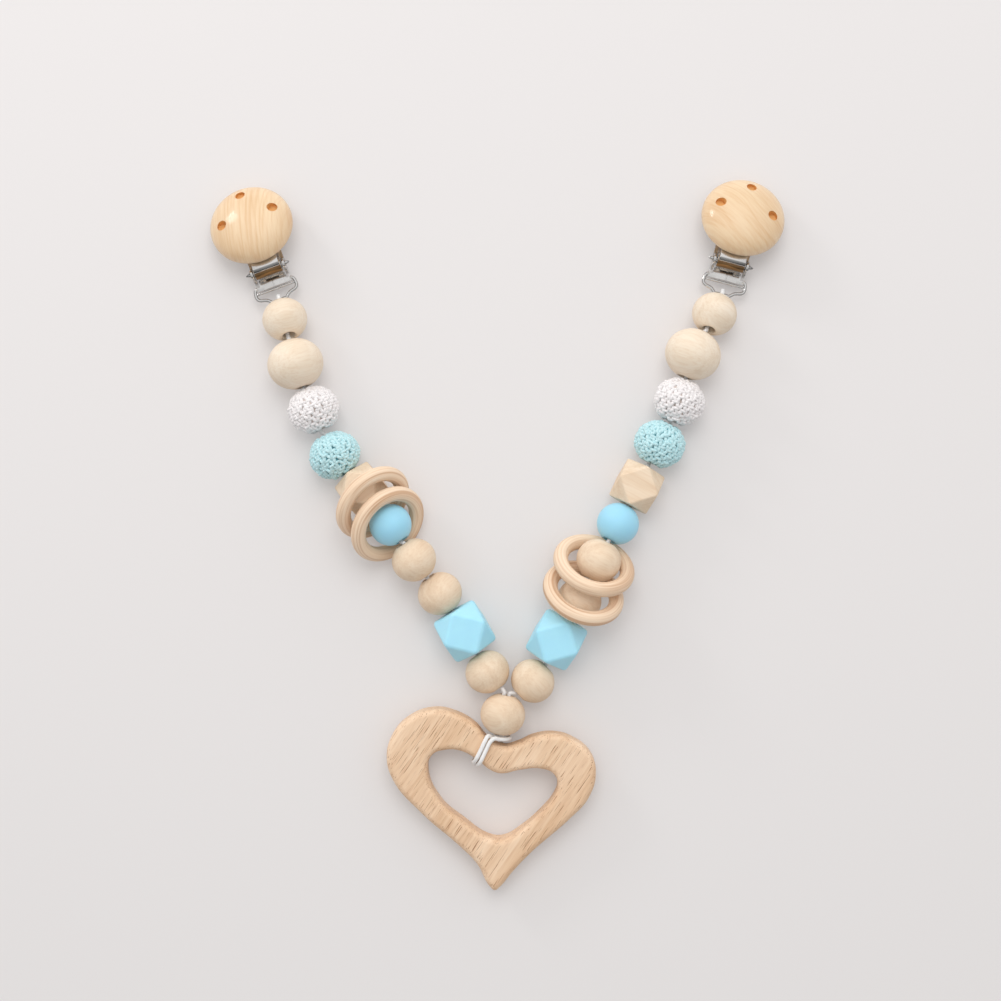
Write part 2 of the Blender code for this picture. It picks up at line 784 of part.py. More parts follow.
def clip_lever(side, place):
    """The lever: a barrel on the axle, a short thumb flap and a plate under the cap."""
    slope = math.tan(math.radians(CAP_TILT))
    top = CAP_UNDER_Z - GAP

    def under_cap(y):
        return top - slope * (y - CAP_OUT)

    web = BARREL_D / 4
    tip = CAP_OUT + PAD_L / 2
    side_loop = [
        (-web, AXLE_Z),
        (web, AXLE_Z),
        (web, under_cap(web) - 2 * SHEET),
        (2 * web, under_cap(2 * web) - SHEET),
        (tip, under_cap(tip) - SHEET),
        (tip, under_cap(tip)),
        (0, under_cap(0)),
        (-web, under_cap(0) - SHEET),
    ]
    shape = outline(f"{side}_clip_lever", [side_loop], lever_w)
    turn = Matrix(((0, 0, 1, 0), (1, 0, 0, 0), (0, 1, 0, 0), (0, 0, 0, 1)))
    shape.matrix_world = place @ Matrix.Translation(Vector((0, axle_y, 0))) @ turn
    made = mesh_from_curve(shape)
    parts.objects.link(made)
    made.data.materials.append(STEEL)
    barrel = cylinder(f"{side}_barrel", BARREL_D, lever_w, BEAD_STEPS, None, axle_line(place))
    boolean(made, barrel, "UNION")
    flap = box(
        f"{side}_flap",
        (-lever_w / 2 + SHEET, axle_y - FLAP_REACH, AXLE_Z + SHEET / 4),
        (lever_w / 2 - SHEET, axle_y - BARREL_D / 4, AXLE_Z + 5 * SHEET / 4),
        None,
        place,
    )
    boolean(made, flap, "UNION")
    boolean(made, axle_bore(f"{side}_barrel_bore", place), "DIFFERENCE")
    rivet_bore = RIVET_D + 2 * GAP
    rivet_hole = cylinder(f"{side}_rivet_hole", rivet_bore, 4 * SHEET, PIN_STEPS, None, cap_place(place))
    return boolean(made, rivet_hole, "DIFFERENCE")


def clip_cap(side, place):
    """The turned wooden cap: a dome over a flat underside, with three blind holes."""
    profile = [(0, CAP_RIM + CAP_RISE)]
    for i in range(1, CAP_ARC_POINTS):
        t = math.radians(90) * i / (CAP_ARC_POINTS - 1)
        profile.append((CAP_D / 2 * math.sin(t), CAP_RIM + CAP_RISE * math.cos(t)))
    profile += [(CAP_D / 2 - CAP_RIM / 4, CAP_RIM / 4), (CAP_D / 2 - CAP_RIM / 2, 0), (0, 0)]
    mesh = profile_mesh(f"{side}_clip_cap", profile)
    at = cap_place(place)
    made = screw(add(f"{side}_clip_cap", mesh, CAP_WOOD, at), CAP_STEPS)
    reach = CAP_HOLE_SHARE * CAP_D / 2
    dome = CAP_RIM + CAP_RISE * math.sqrt(1 - CAP_HOLE_SHARE**2)
    for i, turn in enumerate(CAP_HOLE_TURNS):
        a = math.radians(turn)
        spot = Vector((reach * math.sin(a), reach * math.cos(a), dome))
        there = at @ Matrix.Translation(spot)
        hole = cylinder(f"{side}_cap_hole_{i + 1}", CAP_HOLE_D, 2 * CAP_HOLE_DEEP, PIN_STEPS, None, there)
        boolean(made, hole, "DIFFERENCE")
    seat = cylinder(f"{side}_rivet_seat", RIVET_D + 2 * GAP, 2 * RIVET_GRIP, PIN_STEPS, None, at)
    return boolean(made, seat, "DIFFERENCE")


def clip_rivet(side, place):
    """The rivet that holds the lever's plate to the cap."""
    head_top = -2 * GAP - SHEET
    profile = [
        (0, RIVET_GRIP - GAP),
        (RIVET_D / 2, RIVET_GRIP - GAP),
        (RIVET_D / 2, head_top),
        (RIVET_HEAD_D / 2, head_top),
        (RIVET_HEAD_D / 4, head_top - RIVET_HEAD_L),
        (0, head_top - RIVET_HEAD_L),
    ]
    mesh = profile_mesh(f"{side}_clip_rivet", profile)
    return screw(add(f"{side}_clip_rivet", mesh, STEEL, cap_place(place)), PIN_STEPS)


def clip_pad(side, place):
    """The ribbed plastic grip pad on the jaw plate."""
    end = base_end - SHEET
    low = SHEET + GAP
    step = PAD_L / PAD_TEETH_COUNT
    loop = [(end, low), (end - PAD_L, low)]
    for i in range(PAD_TEETH_COUNT):
        start = end - PAD_L + i * step
        loop += [(start, low + PAD_H - PAD_GROOVE), (start + step / 2, low + PAD_H)]
    loop.append((end, low + PAD_H - PAD_GROOVE))
    shape = outline(f"{side}_clip_pad", [list(reversed(loop))], PAD_W)
    turn = Matrix(((0, 0, 1, 0), (1, 0, 0, 0), (0, 1, 0, 0), (0, 0, 0, 1)))
    shape.matrix_world = place @ turn
    made = mesh_from_curve(shape)
    parts.objects.link(made)
    made.data.materials.append(PLASTIC)
    return made


def loop_cord(side, centre, axis, place):
    """The cord from the small bead round the wire of the clip's loop and back into the bead."""
    up = axis.cross(Vector((0, 0, 1)).cross(axis)).normalized()
    spread = up * (STRAND_PITCH / 2)
    mouth = centre + axis * (ROUND_LENGTH / 2)
    inner = mouth - axis * STEADY
    start = centre + axis * CORD_END_GAP / 2
    wire = place @ Vector((0, 0, SHEET / 2))
    out = place.to_3x3() @ Vector((0, 1, 0))
    high = place.to_3x3() @ Vector((0, 0, 1))
    reach = FRAME_WIRE / 2 + CORD_D / 2 + LOOP_SLACK
    rise = SHEET / 2 + CORD_D / 2 + LOOP_SLACK
    route = [start + spread, inner + spread, mouth + spread]
    for degrees in LOOP_TURNS:
        a = math.radians(degrees)
        route.append(wire + out * (reach * math.cos(a)) + high * (rise * math.sin(a)))
    route += [mouth - spread, inner - spread, start - spread]
    cord(f"{side}_clip_cord", smooth_route(route, CORD_SPAN_STEPS))


wires = {}
for side, turn in CLIP_HEADINGS.items():
    rows, centres, axes = strands[side]
    small, small_axis = centres[-1], axes[-1]
    level = Vector((small_axis.x, small_axis.y, 0)).normalized()
    wire = small + level * LOOP_RUNS[side]
    place = (
        Matrix.Translation(Vector((wire.x, wire.y, LOOP_LIFT)))
        @ Matrix.Rotation(-math.radians(turn), 4, "Z")
        @ Matrix.Rotation(-clip_tilt, 4, "X")
    )
    wires[side] = place
    clip_base(side, place)
    clip_axle(side, place)
    clip_lever(side, place)
    clip_cap(side, place)
    clip_rivet(side, place)
    clip_pad(side, place)
    loop_cord(side, small, small_axis, place)

# The origin goes to the middle of the toy's box, on the floor
bpy.context.view_layer.update()
seen = bpy.context.evaluated_depsgraph_get()
corners = []
for made in parts.objects:
    mesh = made.evaluated_get(seen).to_mesh()
    corners += [made.matrix_world @ v.co for v in mesh.vertices]
    made.evaluated_get(seen).to_mesh_clear()
box_middle = Vector(
    (
        (min(c.x for c in corners) + max(c.x for c in corners)) / 2,
        (min(c.y for c in corners) + max(c.y for c in corners)) / 2,
        min(c.z for c in corners),
    )
)
for made in [*parts.objects, *cutters.objects]:
    made.matrix_world = Matrix.Translation(-box_middle) @ made.matrix_world
bpy.context.view_layer.update()
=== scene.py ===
"""Dresses the pram chain toy's frame.

It makes the turned beads, covered beads, rings, beech heart, cords and two clips, each riding on its body.
"""

import json
import math
import random

import bmesh
import bpy
from mathutils import Matrix, Vector


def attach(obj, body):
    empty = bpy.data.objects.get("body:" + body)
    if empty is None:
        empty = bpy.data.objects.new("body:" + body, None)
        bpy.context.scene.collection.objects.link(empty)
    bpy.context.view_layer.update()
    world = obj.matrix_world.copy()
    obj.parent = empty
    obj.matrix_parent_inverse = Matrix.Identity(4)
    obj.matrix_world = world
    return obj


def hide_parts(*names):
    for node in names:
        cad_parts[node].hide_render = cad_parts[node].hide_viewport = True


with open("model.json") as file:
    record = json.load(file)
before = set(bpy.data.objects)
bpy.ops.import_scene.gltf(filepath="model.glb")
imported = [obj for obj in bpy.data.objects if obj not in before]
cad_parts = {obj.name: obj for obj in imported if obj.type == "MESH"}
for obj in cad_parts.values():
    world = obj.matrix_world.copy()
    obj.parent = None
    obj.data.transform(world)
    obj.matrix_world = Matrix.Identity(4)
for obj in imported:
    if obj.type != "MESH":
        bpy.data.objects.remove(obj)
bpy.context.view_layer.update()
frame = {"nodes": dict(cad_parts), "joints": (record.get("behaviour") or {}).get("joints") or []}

JOINTS = {joint["name"]: joint for joint in frame["joints"]}
SIDES = ("left", "right")
UP = Vector((0, 0, 1))
MM = 0.001
OWN = "own_place"
TURNED_WAVER = 0.004
GRAIN = random.Random(4)


# Materials
def linear(red, green, blue):
    """A colour given as 0 to 255 in sRGB, as linear light."""
    out = []
    for c in (red / 255, green / 255, blue / 255):
        out.append(c / 12.92 if c <= 0.04045 else ((c + 0.055) / 1.055) ** 2.4)
    return (*out, 1.0)


class Shader:
    """A Principled material and short ways to add nodes to it."""

    def __init__(self, name, **sockets):
        self.material = bpy.data.materials.new(name)
        self.material.use_nodes = True
        self.tree = self.material.node_tree
        self.main = self.tree.nodes["Principled BSDF"]
        for key, value in sockets.items():
            self.main.inputs[key.replace("_", " ")].default_value = value

    def node(self, kind, links=None, **values):
        made = self.tree.nodes.new("ShaderNode" + kind)
        for key, value in values.items():
            if key in made.inputs:
                made.inputs[key].default_value = value
            else:
                setattr(made, key, value)
        for key, source in (links or {}).items():
            self.tree.links.new(source, made.inputs[key])
        return made

    def link(self, source, socket):
        self.tree.links.new(source, self.main.inputs[socket])

    def own(self):
        """A piece's own coordinates, in metres."""
        return self.node("Attribute", attribute_name=OWN).outputs["Vector"]

    def place(self, scale):
        """A piece's own coordinates, scaled along each axis."""
        return self.node("Mapping", {"Vector": self.own()}, Scale=scale).outputs["Vector"]

    def noise(self, vector, scale, detail=3.0, roughness=0.5, distortion=0.0):
        look = {"Scale": scale, "Detail": detail, "Roughness": roughness, "Distortion": distortion}
        return self.node("TexNoise", {"Vector": vector}, **look).outputs["Fac"]

    def ramp(self, source, stops):
        """A colour ramp from (place, colour) stops."""
        made = self.node("ValToRGB", {"Fac": source})
        ramp = made.color_ramp
        while len(ramp.elements) < len(stops):
            ramp.elements.new(0.5)
        for element, (at, colour) in zip(ramp.elements, stops):
            element.position = at
            element.color = colour
        return made.outputs["Color"]

    def mix(self, share, a, b, blend="MIX"):
        """Two colours mixed; share is a number or a socket."""
        made = self.node("MixRGB", {}, blend_type=blend)
        for key, value in (("Fac", share), ("Color1", a), ("Color2", b)):
            if isinstance(value, bpy.types.NodeSocket):
                self.tree.links.new(value, made.inputs[key])
            else:
                made.inputs[key].default_value = value
        return made.outputs["Color"]

    def bump(self, height, strength, distance):
        made = self.node("Bump", {"Height": height}, Strength=strength, Distance=distance)
        self.link(made.outputs["Normal"], "Normal")
        return made


def bead_wood(name, deep, middle, pale):
    """Light unfinished wood: soft growth bands, faint fibres along X and fine pores."""
    made = Shader(name, Roughness=0.6)
    bands = made.noise(made.place((12, 260, 150)), 1.0, 2.0, 0.5, 0.8)
    fibre = made.noise(made.place((90, 1500, 1500)), 1.0, 4.0, 0.6, 0.3)
    base = made.ramp(bands, [(0.32, deep), (0.5, middle), (0.68, pale)])
    streak = made.ramp(fibre, [(0.36, linear(226, 200, 172)), (0.56, linear(255, 255, 255))])
    made.link(made.mix(0.22, base, streak, "MULTIPLY"), "Base Color")
    made.bump(fibre, 0.12, 0.00012)
    return made.material


def ring_wood():
    """The rings' wood: pale, with fine lines that follow the turning and a few deeper ones, darkened as
    painted groove shade.
    """
    made = Shader("ring_wood", Roughness=0.55)
    fine = made.noise(made.place((1500, 1500, 160)), 1.0, 3.0, 0.55)
    deep = made.noise(made.place((420, 420, 60)), 1.0, 2.0, 0.5)
    stops = [(0.34, linear(222, 189, 158)), (0.5, linear(238, 210, 181)), (0.7, linear(243, 220, 194))]
    base = made.ramp(fine, stops)
    painted_groove_shade = made.ramp(deep, [(0.33, linear(206, 172, 142)), (0.42, linear(255, 255, 255))])
    made.link(made.mix(0.6, base, painted_groove_shade, "MULTIPLY"), "Base Color")
    made.bump(fine, 0.25, 0.00012)
    return made.material


BEECH_GRAIN_TURN = math.radians(-56)


def beech():
    """Beech: warm tan with fine lengthwise streaks and short thin dark flecks."""
    made = Shader("beech", Roughness=0.55)
    turn = made.node("Mapping", {"Vector": made.own()}, Rotation=(0, 0, BEECH_GRAIN_TURN)).outputs["Vector"]
    streak_place = made.node("Mapping", {"Vector": turn}, Scale=(45, 900, 900)).outputs["Vector"]
    streak = made.noise(streak_place, 1.0, 5.0, 0.65, 0.3)
    broad_place = made.node("Mapping", {"Vector": turn}, Scale=(14, 110, 110)).outputs["Vector"]
    broad = made.noise(broad_place, 1.0, 3.0, 0.5, 0.5)
    stops = [(0.28, linear(222, 185, 152)), (0.5, linear(240, 208, 176)), (0.74, linear(247, 221, 192))]
    base = made.ramp(streak, stops)
    shade = made.ramp(broad, [(0.3, linear(236, 226, 214)), (0.65, linear(255, 255, 255))])
    fleck_place = made.node("Mapping", {"Vector": turn}, Scale=(125, 3900, 3900)).outputs["Vector"]
    fleck = made.noise(fleck_place, 1.0, 1.0, 0.4)
    flecks = made.ramp(fleck, [(0.65, (0, 0, 0, 1)), (0.71, (0.95, 0.95, 0.95, 1))])
    made.link(made.mix(flecks, made.mix(1.0, base, shade, "MULTIPLY"), linear(148, 100, 66)), "Base Color")
    made.bump(streak, 0.25, 0.00015)
    return made.material


CAP_GRAIN_DRIFT = 0.017


def cap_wood():
    """Clear-lacquered light wood: thin curved growth lines, short streaks across them and a pale sheen."""
    made = Shader("cap_wood", Roughness=0.5, Coat_Weight=0.6, Coat_Roughness=0.15)
    drift = made.node("TexNoise", {"Vector": made.own()}, Scale=30.0, Detail=0.0).outputs["Color"]
    bent = made.node("VectorMath", {0: drift, 2: made.own()}, operation="MULTIPLY_ADD").outputs["Vector"]
    bent.node.inputs[1].default_value = (CAP_GRAIN_DRIFT,) * 3
    lines_place = made.node("Mapping", {"Vector": bent}, Scale=(1150, 26, 26)).outputs["Vector"]
    lines = made.noise(lines_place, 1.0, 1.0, 0.4)
    fibre = made.noise(made.place((1100, 70, 200)), 1.0, 4.0, 0.6, 0.3)
    soft = made.noise(made.place((130, 50, 50)), 1.0, 2.0)
    base = made.ramp(soft, [(0.35, linear(229, 198, 160)), (0.65, linear(235, 208, 172))])
    thin = made.ramp(lines, [(0.34, linear(243, 228, 209)), (0.5, linear(255, 255, 255))])
    streak = made.ramp(fibre, [(0.34, linear(236, 212, 184)), (0.58, linear(255, 255, 255))])
    grained = made.mix(0.38, base, thin, "MULTIPLY")
    made.link(made.mix(0.35, grained, streak, "MULTIPLY"), "Base Color")
    made.bump(fibre, 0.06, 0.0001)
    return made.material


def silicone(name, colour):
    """Matte silicone with a faint dusty skin."""
    made = Shader(name, Roughness=0.5, Sheen_Weight=0.1, Sheen_Roughness=0.4)
    made.main.inputs["Subsurface Weight"].default_value = 0.08
    made.main.inputs["Subsurface Radius"].default_value = (0.3, 0.6, 1.0)
    made.main.inputs["Subsurface Scale"].default_value = 0.002
    tone = made.noise(made.place((240, 240, 240)), 1.0, 3.0)
    deeper = made.ramp(tone, [(0.3, (0, 0, 0, 1)), (0.7, (0.3, 0.3, 0.3, 1))])
    made.link(made.mix(deeper, colour, linear(160, 219, 243)), "Base Color")
    fine = made.noise(made.place((2200, 2200, 2200)), 1.0, 2.0)
    made.bump(fine, 0.12, 0.0001)
    return made.material


def yarn(name, light, groove_shade):
    """Twisted cotton: fine slanting plies along each strand, with painted shade darkening its grooves."""
    made = Shader(name, Roughness=0.9, Sheen_Weight=0.35, Sheen_Roughness=0.5)
    ply = made.noise(made.place((2600, 2600, 1700)), 1.0, 4.0, 0.7)
    made.link(made.ramp(ply, [(0.32, groove_shade), (0.52, light)]), "Base Color")
    made.bump(ply, 0.7, 0.0002)
    return made.material


def plain(name, colour, **sockets):
    """One colour with a faint, fine unevenness."""
    made = Shader(name, **sockets)
    tone = made.noise(made.place((900, 900, 900)), 1.0, 3.0)
    darker = tuple(c * 0.88 for c in colour[:3]) + (1.0,)
    made.link(made.mix(tone, darker, colour), "Base Color")
    made.bump(tone, 0.08, 0.00005)
    return made.material


BEAD_WOOD = bead_wood("bead_wood", linear(228, 203, 175), linear(234, 211, 184), linear(238, 217, 192))
PALE_WOOD = bead_wood("pale_wood", linear(232, 214, 191), linear(237, 221, 200), linear(240, 226, 207))
BEECH = beech()
CAP_WOOD = cap_wood()
RING_WOOD = ring_wood()
BLUE = silicone("blue_silicone", linear(174, 231, 250))
# The round beads take the same blue silicone made darker: painted shade.
BLUE_SHADED_COPY = silicone("blue_silicone_shaded_copy", linear(160, 217, 240))
# Each cotton's second colour is painted shade for the grooves between its plies.
AQUA = yarn("aqua_cotton", linear(200, 234, 238), linear(146, 199, 208))
WHITE = yarn("white_cotton", linear(244, 240, 240), linear(222, 216, 215))
# The aqua core is coloured dark teal as painted shade in the gaps between the stitches.
AQUA_CORE_GAP_SHADE = plain("aqua_core_gap_shade", linear(104, 162, 172), Roughness=1.0)
WHITE_CORE = plain("white_core", linear(222, 208, 200), Roughness=1.0)
CORD = plain("white_cord", linear(244, 243, 242), Roughness=0.55)
STEEL = plain("nickel_steel", linear(230, 228, 226), Roughness=0.14, Metallic=1.0)
# The lip and its edge are steel; their warm colours are a painted reflection of the wooden cap over them.
STEEL_WOOD_REFLECTION = plain("steel_painted_wood_reflection", linear(162, 128, 90), Roughness=0.3, Metallic=1.0)
PALE_STEEL_WOOD_REFLECTION = plain("pale_steel_painted_wood_reflection", linear(240, 212, 164), Roughness=0.2, Metallic=1.0)
GRIP = plain("grip_plastic", linear(226, 230, 232), Roughness=0.35)
HOLE_WOOD = plain("hole_wood", linear(236, 184, 118), Roughness=0.7)


# Making and placing pieces
def made_from(name, bm, material, place, body, slot, *nodes, smooth=True, sharp=None, grain=None):
    """An object of a bmesh, placed, riding on a body, in the place of CAD nodes."""
    mesh = bpy.data.meshes.new(name)
    bmesh.ops.recalc_face_normals(bm, faces=bm.faces)
    bm.to_mesh(mesh)
    bm.free()
    return piece(name, mesh, material, place, body, slot, *nodes, smooth=smooth, sharp=sharp, grain=grain)


def turned_place(p):
    """A point of a turned piece as its distance from Z, its height and, faintly, its turn."""
    out = p.xy.length
    return Vector((out, p.z, TURNED_WAVER * p.x / out))


def piece(name, mesh, material, place, body, slot, *nodes, smooth=True, sharp=None, grain=None):
    """An object of a mesh, placed, riding on a body, in the place of CAD nodes.

    Each point's coordinates in the piece's own axes are kept for its grain, moved on so that no two
    pieces are cut from the same place. grain may turn or bend a point for this.
    """
    own = mesh.attributes.new(OWN, "FLOAT_VECTOR", "POINT")
    size = place.to_scale().x
    apart = Vector((GRAIN.uniform(-1, 1), GRAIN.uniform(-1, 1), GRAIN.uniform(-1, 1)))
    spots = [grain(v.co) if grain else v.co for v in mesh.vertices]
    own.data.foreach_set("vector", [c for spot in spots for c in spot * size + apart])
    mesh.transform(place)
    made = bpy.data.objects.new(name, mesh)
    bpy.context.scene.collection.objects.link(made)
    mesh.materials.append(material)
    if smooth:
        mesh.polygons.foreach_set("use_smooth", [True] * len(mesh.polygons))
    if sharp:
        mesh.set_sharp_from_angle(angle=math.radians(sharp))
    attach(made, body)
    if nodes:
        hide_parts(*nodes)
    return made


def frame_at(centre, forward, hint=UP):
    """A matrix at a point whose Z runs along forward and whose X lies across the hint."""
    z = forward.normalized()
    x = hint.cross(z).normalized()
    y = z.cross(x)
    return Matrix.Translation(centre) @ Matrix((x, y, z)).transposed().to_4x4()


def revolve(profile, steps):
    """A closed profile of (radius, height) turned about Z."""
    bm = bmesh.new()
    rows = []
    for i in range(steps):
        a = 2 * math.pi * i / steps
        rows.append([bm.verts.new((r * math.cos(a), r * math.sin(a), z)) for r, z in profile])
    for i in range(steps):
        one, two = rows[i], rows[(i + 1) % steps]
        for j in range(len(profile)):
            k = (j + 1) % len(profile)
            bm.faces.new((one[j], two[j], two[k], one[k]))
    return bm


def revolve_solid(profile, steps):
    """An open profile that starts and ends on the axis, turned about Z."""
    bm = revolve(profile, steps)
    bmesh.ops.remove_doubles(bm, verts=bm.verts, dist=1e-7)
    bmesh.ops.dissolve_degenerate(bm, edges=bm.edges, dist=1e-7)
    return bm


def arc(cx, cy, radius, start, end, steps):
    """Points on an arc, in degrees."""
    out = []
    for i in range(steps + 1):
        a = math.radians(start + (end - start) * i / steps)
        out.append((cx + radius * math.cos(a), cy + radius * math.sin(a)))
    return out


def tube(route, radius, sides=12, closed=False):
    """A round tube along a route, its frame carried along without twisting."""
    bm = bmesh.new()
    count = len(route)
    rings = []
    across = None
    for i, p in enumerate(route):
        if closed:
            way = (route[(i + 1) % count] - route[i - 1]).normalized()
        else:
            way = (route[min(i + 1, count - 1)] - route[max(i - 1, 0)]).normalized()
        if across is None:
            across = way.orthogonal().normalized()
        across = (across - way * across.dot(way)).normalized()
        up = way.cross(across)
        ring = []
        for k in range(sides):
            a = 2 * math.pi * k / sides
            ring.append(bm.verts.new(p + across * (radius * math.cos(a)) + up * (radius * math.sin(a))))
        rings.append(ring)
    last = count if closed else count - 1
    for i in range(last):
        one, two = rings[i], rings[(i + 1) % count]
        for k in range(sides):
            bm.faces.new((one[k], one[(k + 1) % sides], two[(k + 1) % sides], two[k]))
    if not closed:
        bm.faces.new(list(reversed(rings[0])))
        bm.faces.new(rings[-1])
    return bm


def smooth_route(points, per_span):
    """Points on a centripetal Catmull-Rom curve through a route's own points."""
    points = [Vector(p) for p in points]
    route = [points[0] * 2 - points[1], *points, points[-1] * 2 - points[-2]]
    out = []
    for p0, p1, p2, p3 in zip(route, route[1:], route[2:], route[3:]):
        t1 = math.sqrt((p1 - p0).length)
        t2 = t1 + math.sqrt((p2 - p1).length)
        t3 = t2 + math.sqrt((p3 - p2).length)
        for i in range(per_span):
            t = t1 + (t2 - t1) * i / per_span
            a1 = p0.lerp(p1, t / t1)
            a2 = p1.lerp(p2, (t - t1) / (t2 - t1))
            a3 = p2.lerp(p3, (t - t2) / (t3 - t2))
            b1 = a1.lerp(a2, t / t2)
            b2 = a2.lerp(a3, (t - t1) / (t3 - t1))
            out.append(b1.lerp(b2, (t - t1) / (t2 - t1)))
    return [*out, points[-1]]


def carved(bm, *cutters):
    """A bmesh with others cut out of it."""
    def held(mesh_bm):
        mesh = bpy.data.meshes.new("held")
        bmesh.ops.recalc_face_normals(mesh_bm, faces=mesh_bm.faces)
        mesh_bm.to_mesh(mesh)
        mesh_bm.free()
        made = bpy.data.objects.new("held", mesh)
        bpy.context.scene.collection.objects.link(made)
        return made

    body = held(bm)
    tools = [held(cutter) for cutter in cutters]
    for tool in tools:
        cut = body.modifiers.new("cut", "BOOLEAN")
        cut.object = tool
        cut.solver = "EXACT"
    seen = body.evaluated_get(bpy.context.evaluated_depsgraph_get())
    out = bmesh.new()
    out.from_mesh(seen.to_mesh())
    for gone in (body, *tools):
        bpy.data.objects.remove(gone, do_unlink=True)
    return out


def rod(radius, low, high, steps=32, place=Matrix()):
    """A plain cylinder as a bmesh, for cutting with."""
    bm = bmesh.new()
    bmesh.ops.create_cone(
        bm,
        cap_ends=True,
        segments=steps,
        radius1=radius,
        radius2=radius,
        depth=high - low,
        matrix=place @ Matrix.Translation(Vector((0, 0, (high + low) / 2))),
    )
    return bm


# Beads
HOLE_R = 2.3 * MM
LIP_R = 0.35 * MM
BEAD_STEPS = 64
BEAD_ARC_STEPS = 28


class Bead:
    """Where a bead is and how big, read from its joint and its CAD solid."""

    def __init__(self, node):
        joint = JOINTS[node + "_spin"]
        self.node = node
        self.centre = Vector(joint["pos_m"])
        self.axis = Vector(joint["axis"]).normalized()
        self.place = frame_at(self.centre, self.axis)
        local = self.place.inverted()
        points = [local @ v.co for v in frame["nodes"][node].data.vertices]
        self.length = 2 * max(abs(p.z) for p in points)
        self.radius = max(math.hypot(p.x, p.y) for p in points)


def round_profile(radius, length):
    """An oblate bead with rounded lips at its bore."""
    half = length / 2
    start = math.degrees(math.acos((HOLE_R + LIP_R) / radius))
    out = []
    for i in range(BEAD_ARC_STEPS + 1):
        t = math.radians(start * (1 - 2 * i / BEAD_ARC_STEPS))
        out.append((radius * math.cos(t), half * math.sin(t) / math.sin(math.radians(start))))
    top = out[0][1]
    lower_lip = [(HOLE_R + LIP_R - x, -top + LIP_R - y) for x, y in arc(0, 0, LIP_R, 90, 0, 4)][1:]
    upper_lip = [(x, -z) for x, z in reversed(lower_lip)]
    return out + lower_lip + upper_lip


TURNS = random.Random(7)


def spun(place):
    """The same place, turned about its own Z, so that no two beads show the same grain."""
    return place @ Matrix.Rotation(TURNS.uniform(0, 2 * math.pi), 4, "Z")


def round_bead(node, material, slot):
    bead = Bead(node)
    length = bead.length
    bm = revolve(round_profile(bead.radius, length), BEAD_STEPS)
    return made_from(node + "_turned", bm, material, spun(bead.place), node, slot, node)


def faceted_bead(node, material, slot, softness):
    """A cube cut at each corner through the middles of its edges, softened and bored."""
    bead = Bead(node)
    half = bead.length / 2
    bm = bmesh.new()
    for a in (-half, half):
        for b in (-half, half):
            for corner in ((a, b, 0), (a, 0, b), (0, a, b)):
                bm.verts.new(corner)
    bmesh.ops.convex_hull(bm, input=bm.verts)
    bmesh.ops.dissolve_limit(bm, angle_limit=math.radians(1), verts=bm.verts, edges=bm.edges)
    bmesh.ops.bevel(bm, geom=bm.edges, offset=softness, segments=4, affect="EDGES", profile=0.5)
    bm = carved(bm, rod(HOLE_R, -2 * half, 2 * half))
    made = made_from(node + "_cut", bm, material, bead.place, node, slot, node, sharp=35)
    made.modifiers.new("even", "WEIGHTED_NORMAL").keep_sharp = True
    return made


SOFT_WOOD_EDGE = 0.5 * MM
SOFT_BLUE_EDGE = 0.9 * MM
WOOD_ROUNDS = (
    ("wood_c", BEAD_WOOD),
    ("wood_b", BEAD_WOOD),
    ("wood_a", BEAD_WOOD),
    ("big", PALE_WOOD),
    ("small", PALE_WOOD),
)
for side in SIDES:
    for name, wood in WOOD_ROUNDS:
        round_bead(f"{side}_{name}_bead", wood, "bead_wood")
    round_bead(f"{side}_blue_bead", BLUE_SHADED_COPY, "blue_silicone")
    faceted_bead(f"{side}_facet_wood_bead", BEAD_WOOD, "bead_wood", SOFT_WOOD_EDGE)
    faceted_bead(f"{side}_facet_blue_bead", BLUE, "blue_silicone", SOFT_BLUE_EDGE)
round_bead("shared_bead", BEAD_WOOD, "bead_wood")


# Covered beads: rounds of stitches over a core, each stitch a V of two yarn legs under a cross loop
YARN_R = 0.66 * MM
STITCH_W = 2.75 * MM
STITCH_H = 2.05 * MM
LOBE_SIDES = 8
LOBE_SPANS = 3
CORE_STEPS = 48
CORE_ACROSS_SHARE = 0.30
CORE_ALONG_SHARE = 0.25
LEG_SIZE_SHARES = (0.98, 1.14)
CROSS_SIZE_SHARES = (0.8, 0.95)
TURN_WAVER_SHARE = 0.14
LEAN_WAVER_SHARE = 0.09
LIFT_SHARES = (-0.4, 0.3)
# A stitch's right leg and its cross loop, as shares: turn of its width, climb of its round, height of
# the yarn's radius. The other rows say which points take the stitch's lean, and which take its lift.
LEG_SHARES = ((0.05, -0.52, -0.6), (0.13, -0.22, 0.25), (0.27, 0.14, 0.30), (0.40, 0.46, -0.5))
LEG_LEANS = (True, True, False, False)
CROSS_SHARES = ((0.02, 0.36, -0.4), (0.30, 0.50, 0.55), (0.70, 0.52, 0.60), (1.02, 0.64, -0.4))
MIDDLE_LIFTS = (False, True, True, False)


def lobe(bm, route, radius):
    """One yarn lobe: a short tube with tapered, rounded ends."""
    count = len(route)
    across = None
    rings = []
    for i, p in enumerate(route):
        way = (route[min(i + 1, count - 1)] - route[max(i - 1, 0)]).normalized()
        if across is None:
            across = way.orthogonal().normalized()
        else:
            across = (across - way * across.dot(way)).normalized()
        up = way.cross(across)
        size = radius * (0.55 + 0.45 * math.sin(math.pi * i / (count - 1)) ** 0.5)
        ring = []
        for k in range(LOBE_SIDES):
            a = 2 * math.pi * k / LOBE_SIDES
            ring.append(bm.verts.new(p + across * (size * math.cos(a)) + up * (size * math.sin(a))))
        rings.append(ring)
    for one, two in zip(rings, rings[1:]):
        for k in range(LOBE_SIDES):
            bm.faces.new((one[k], one[(k + 1) % LOBE_SIDES], two[(k + 1) % LOBE_SIDES], two[k]))
    bm.faces.new(list(reversed(rings[0])))
    bm.faces.new(rings[-1])


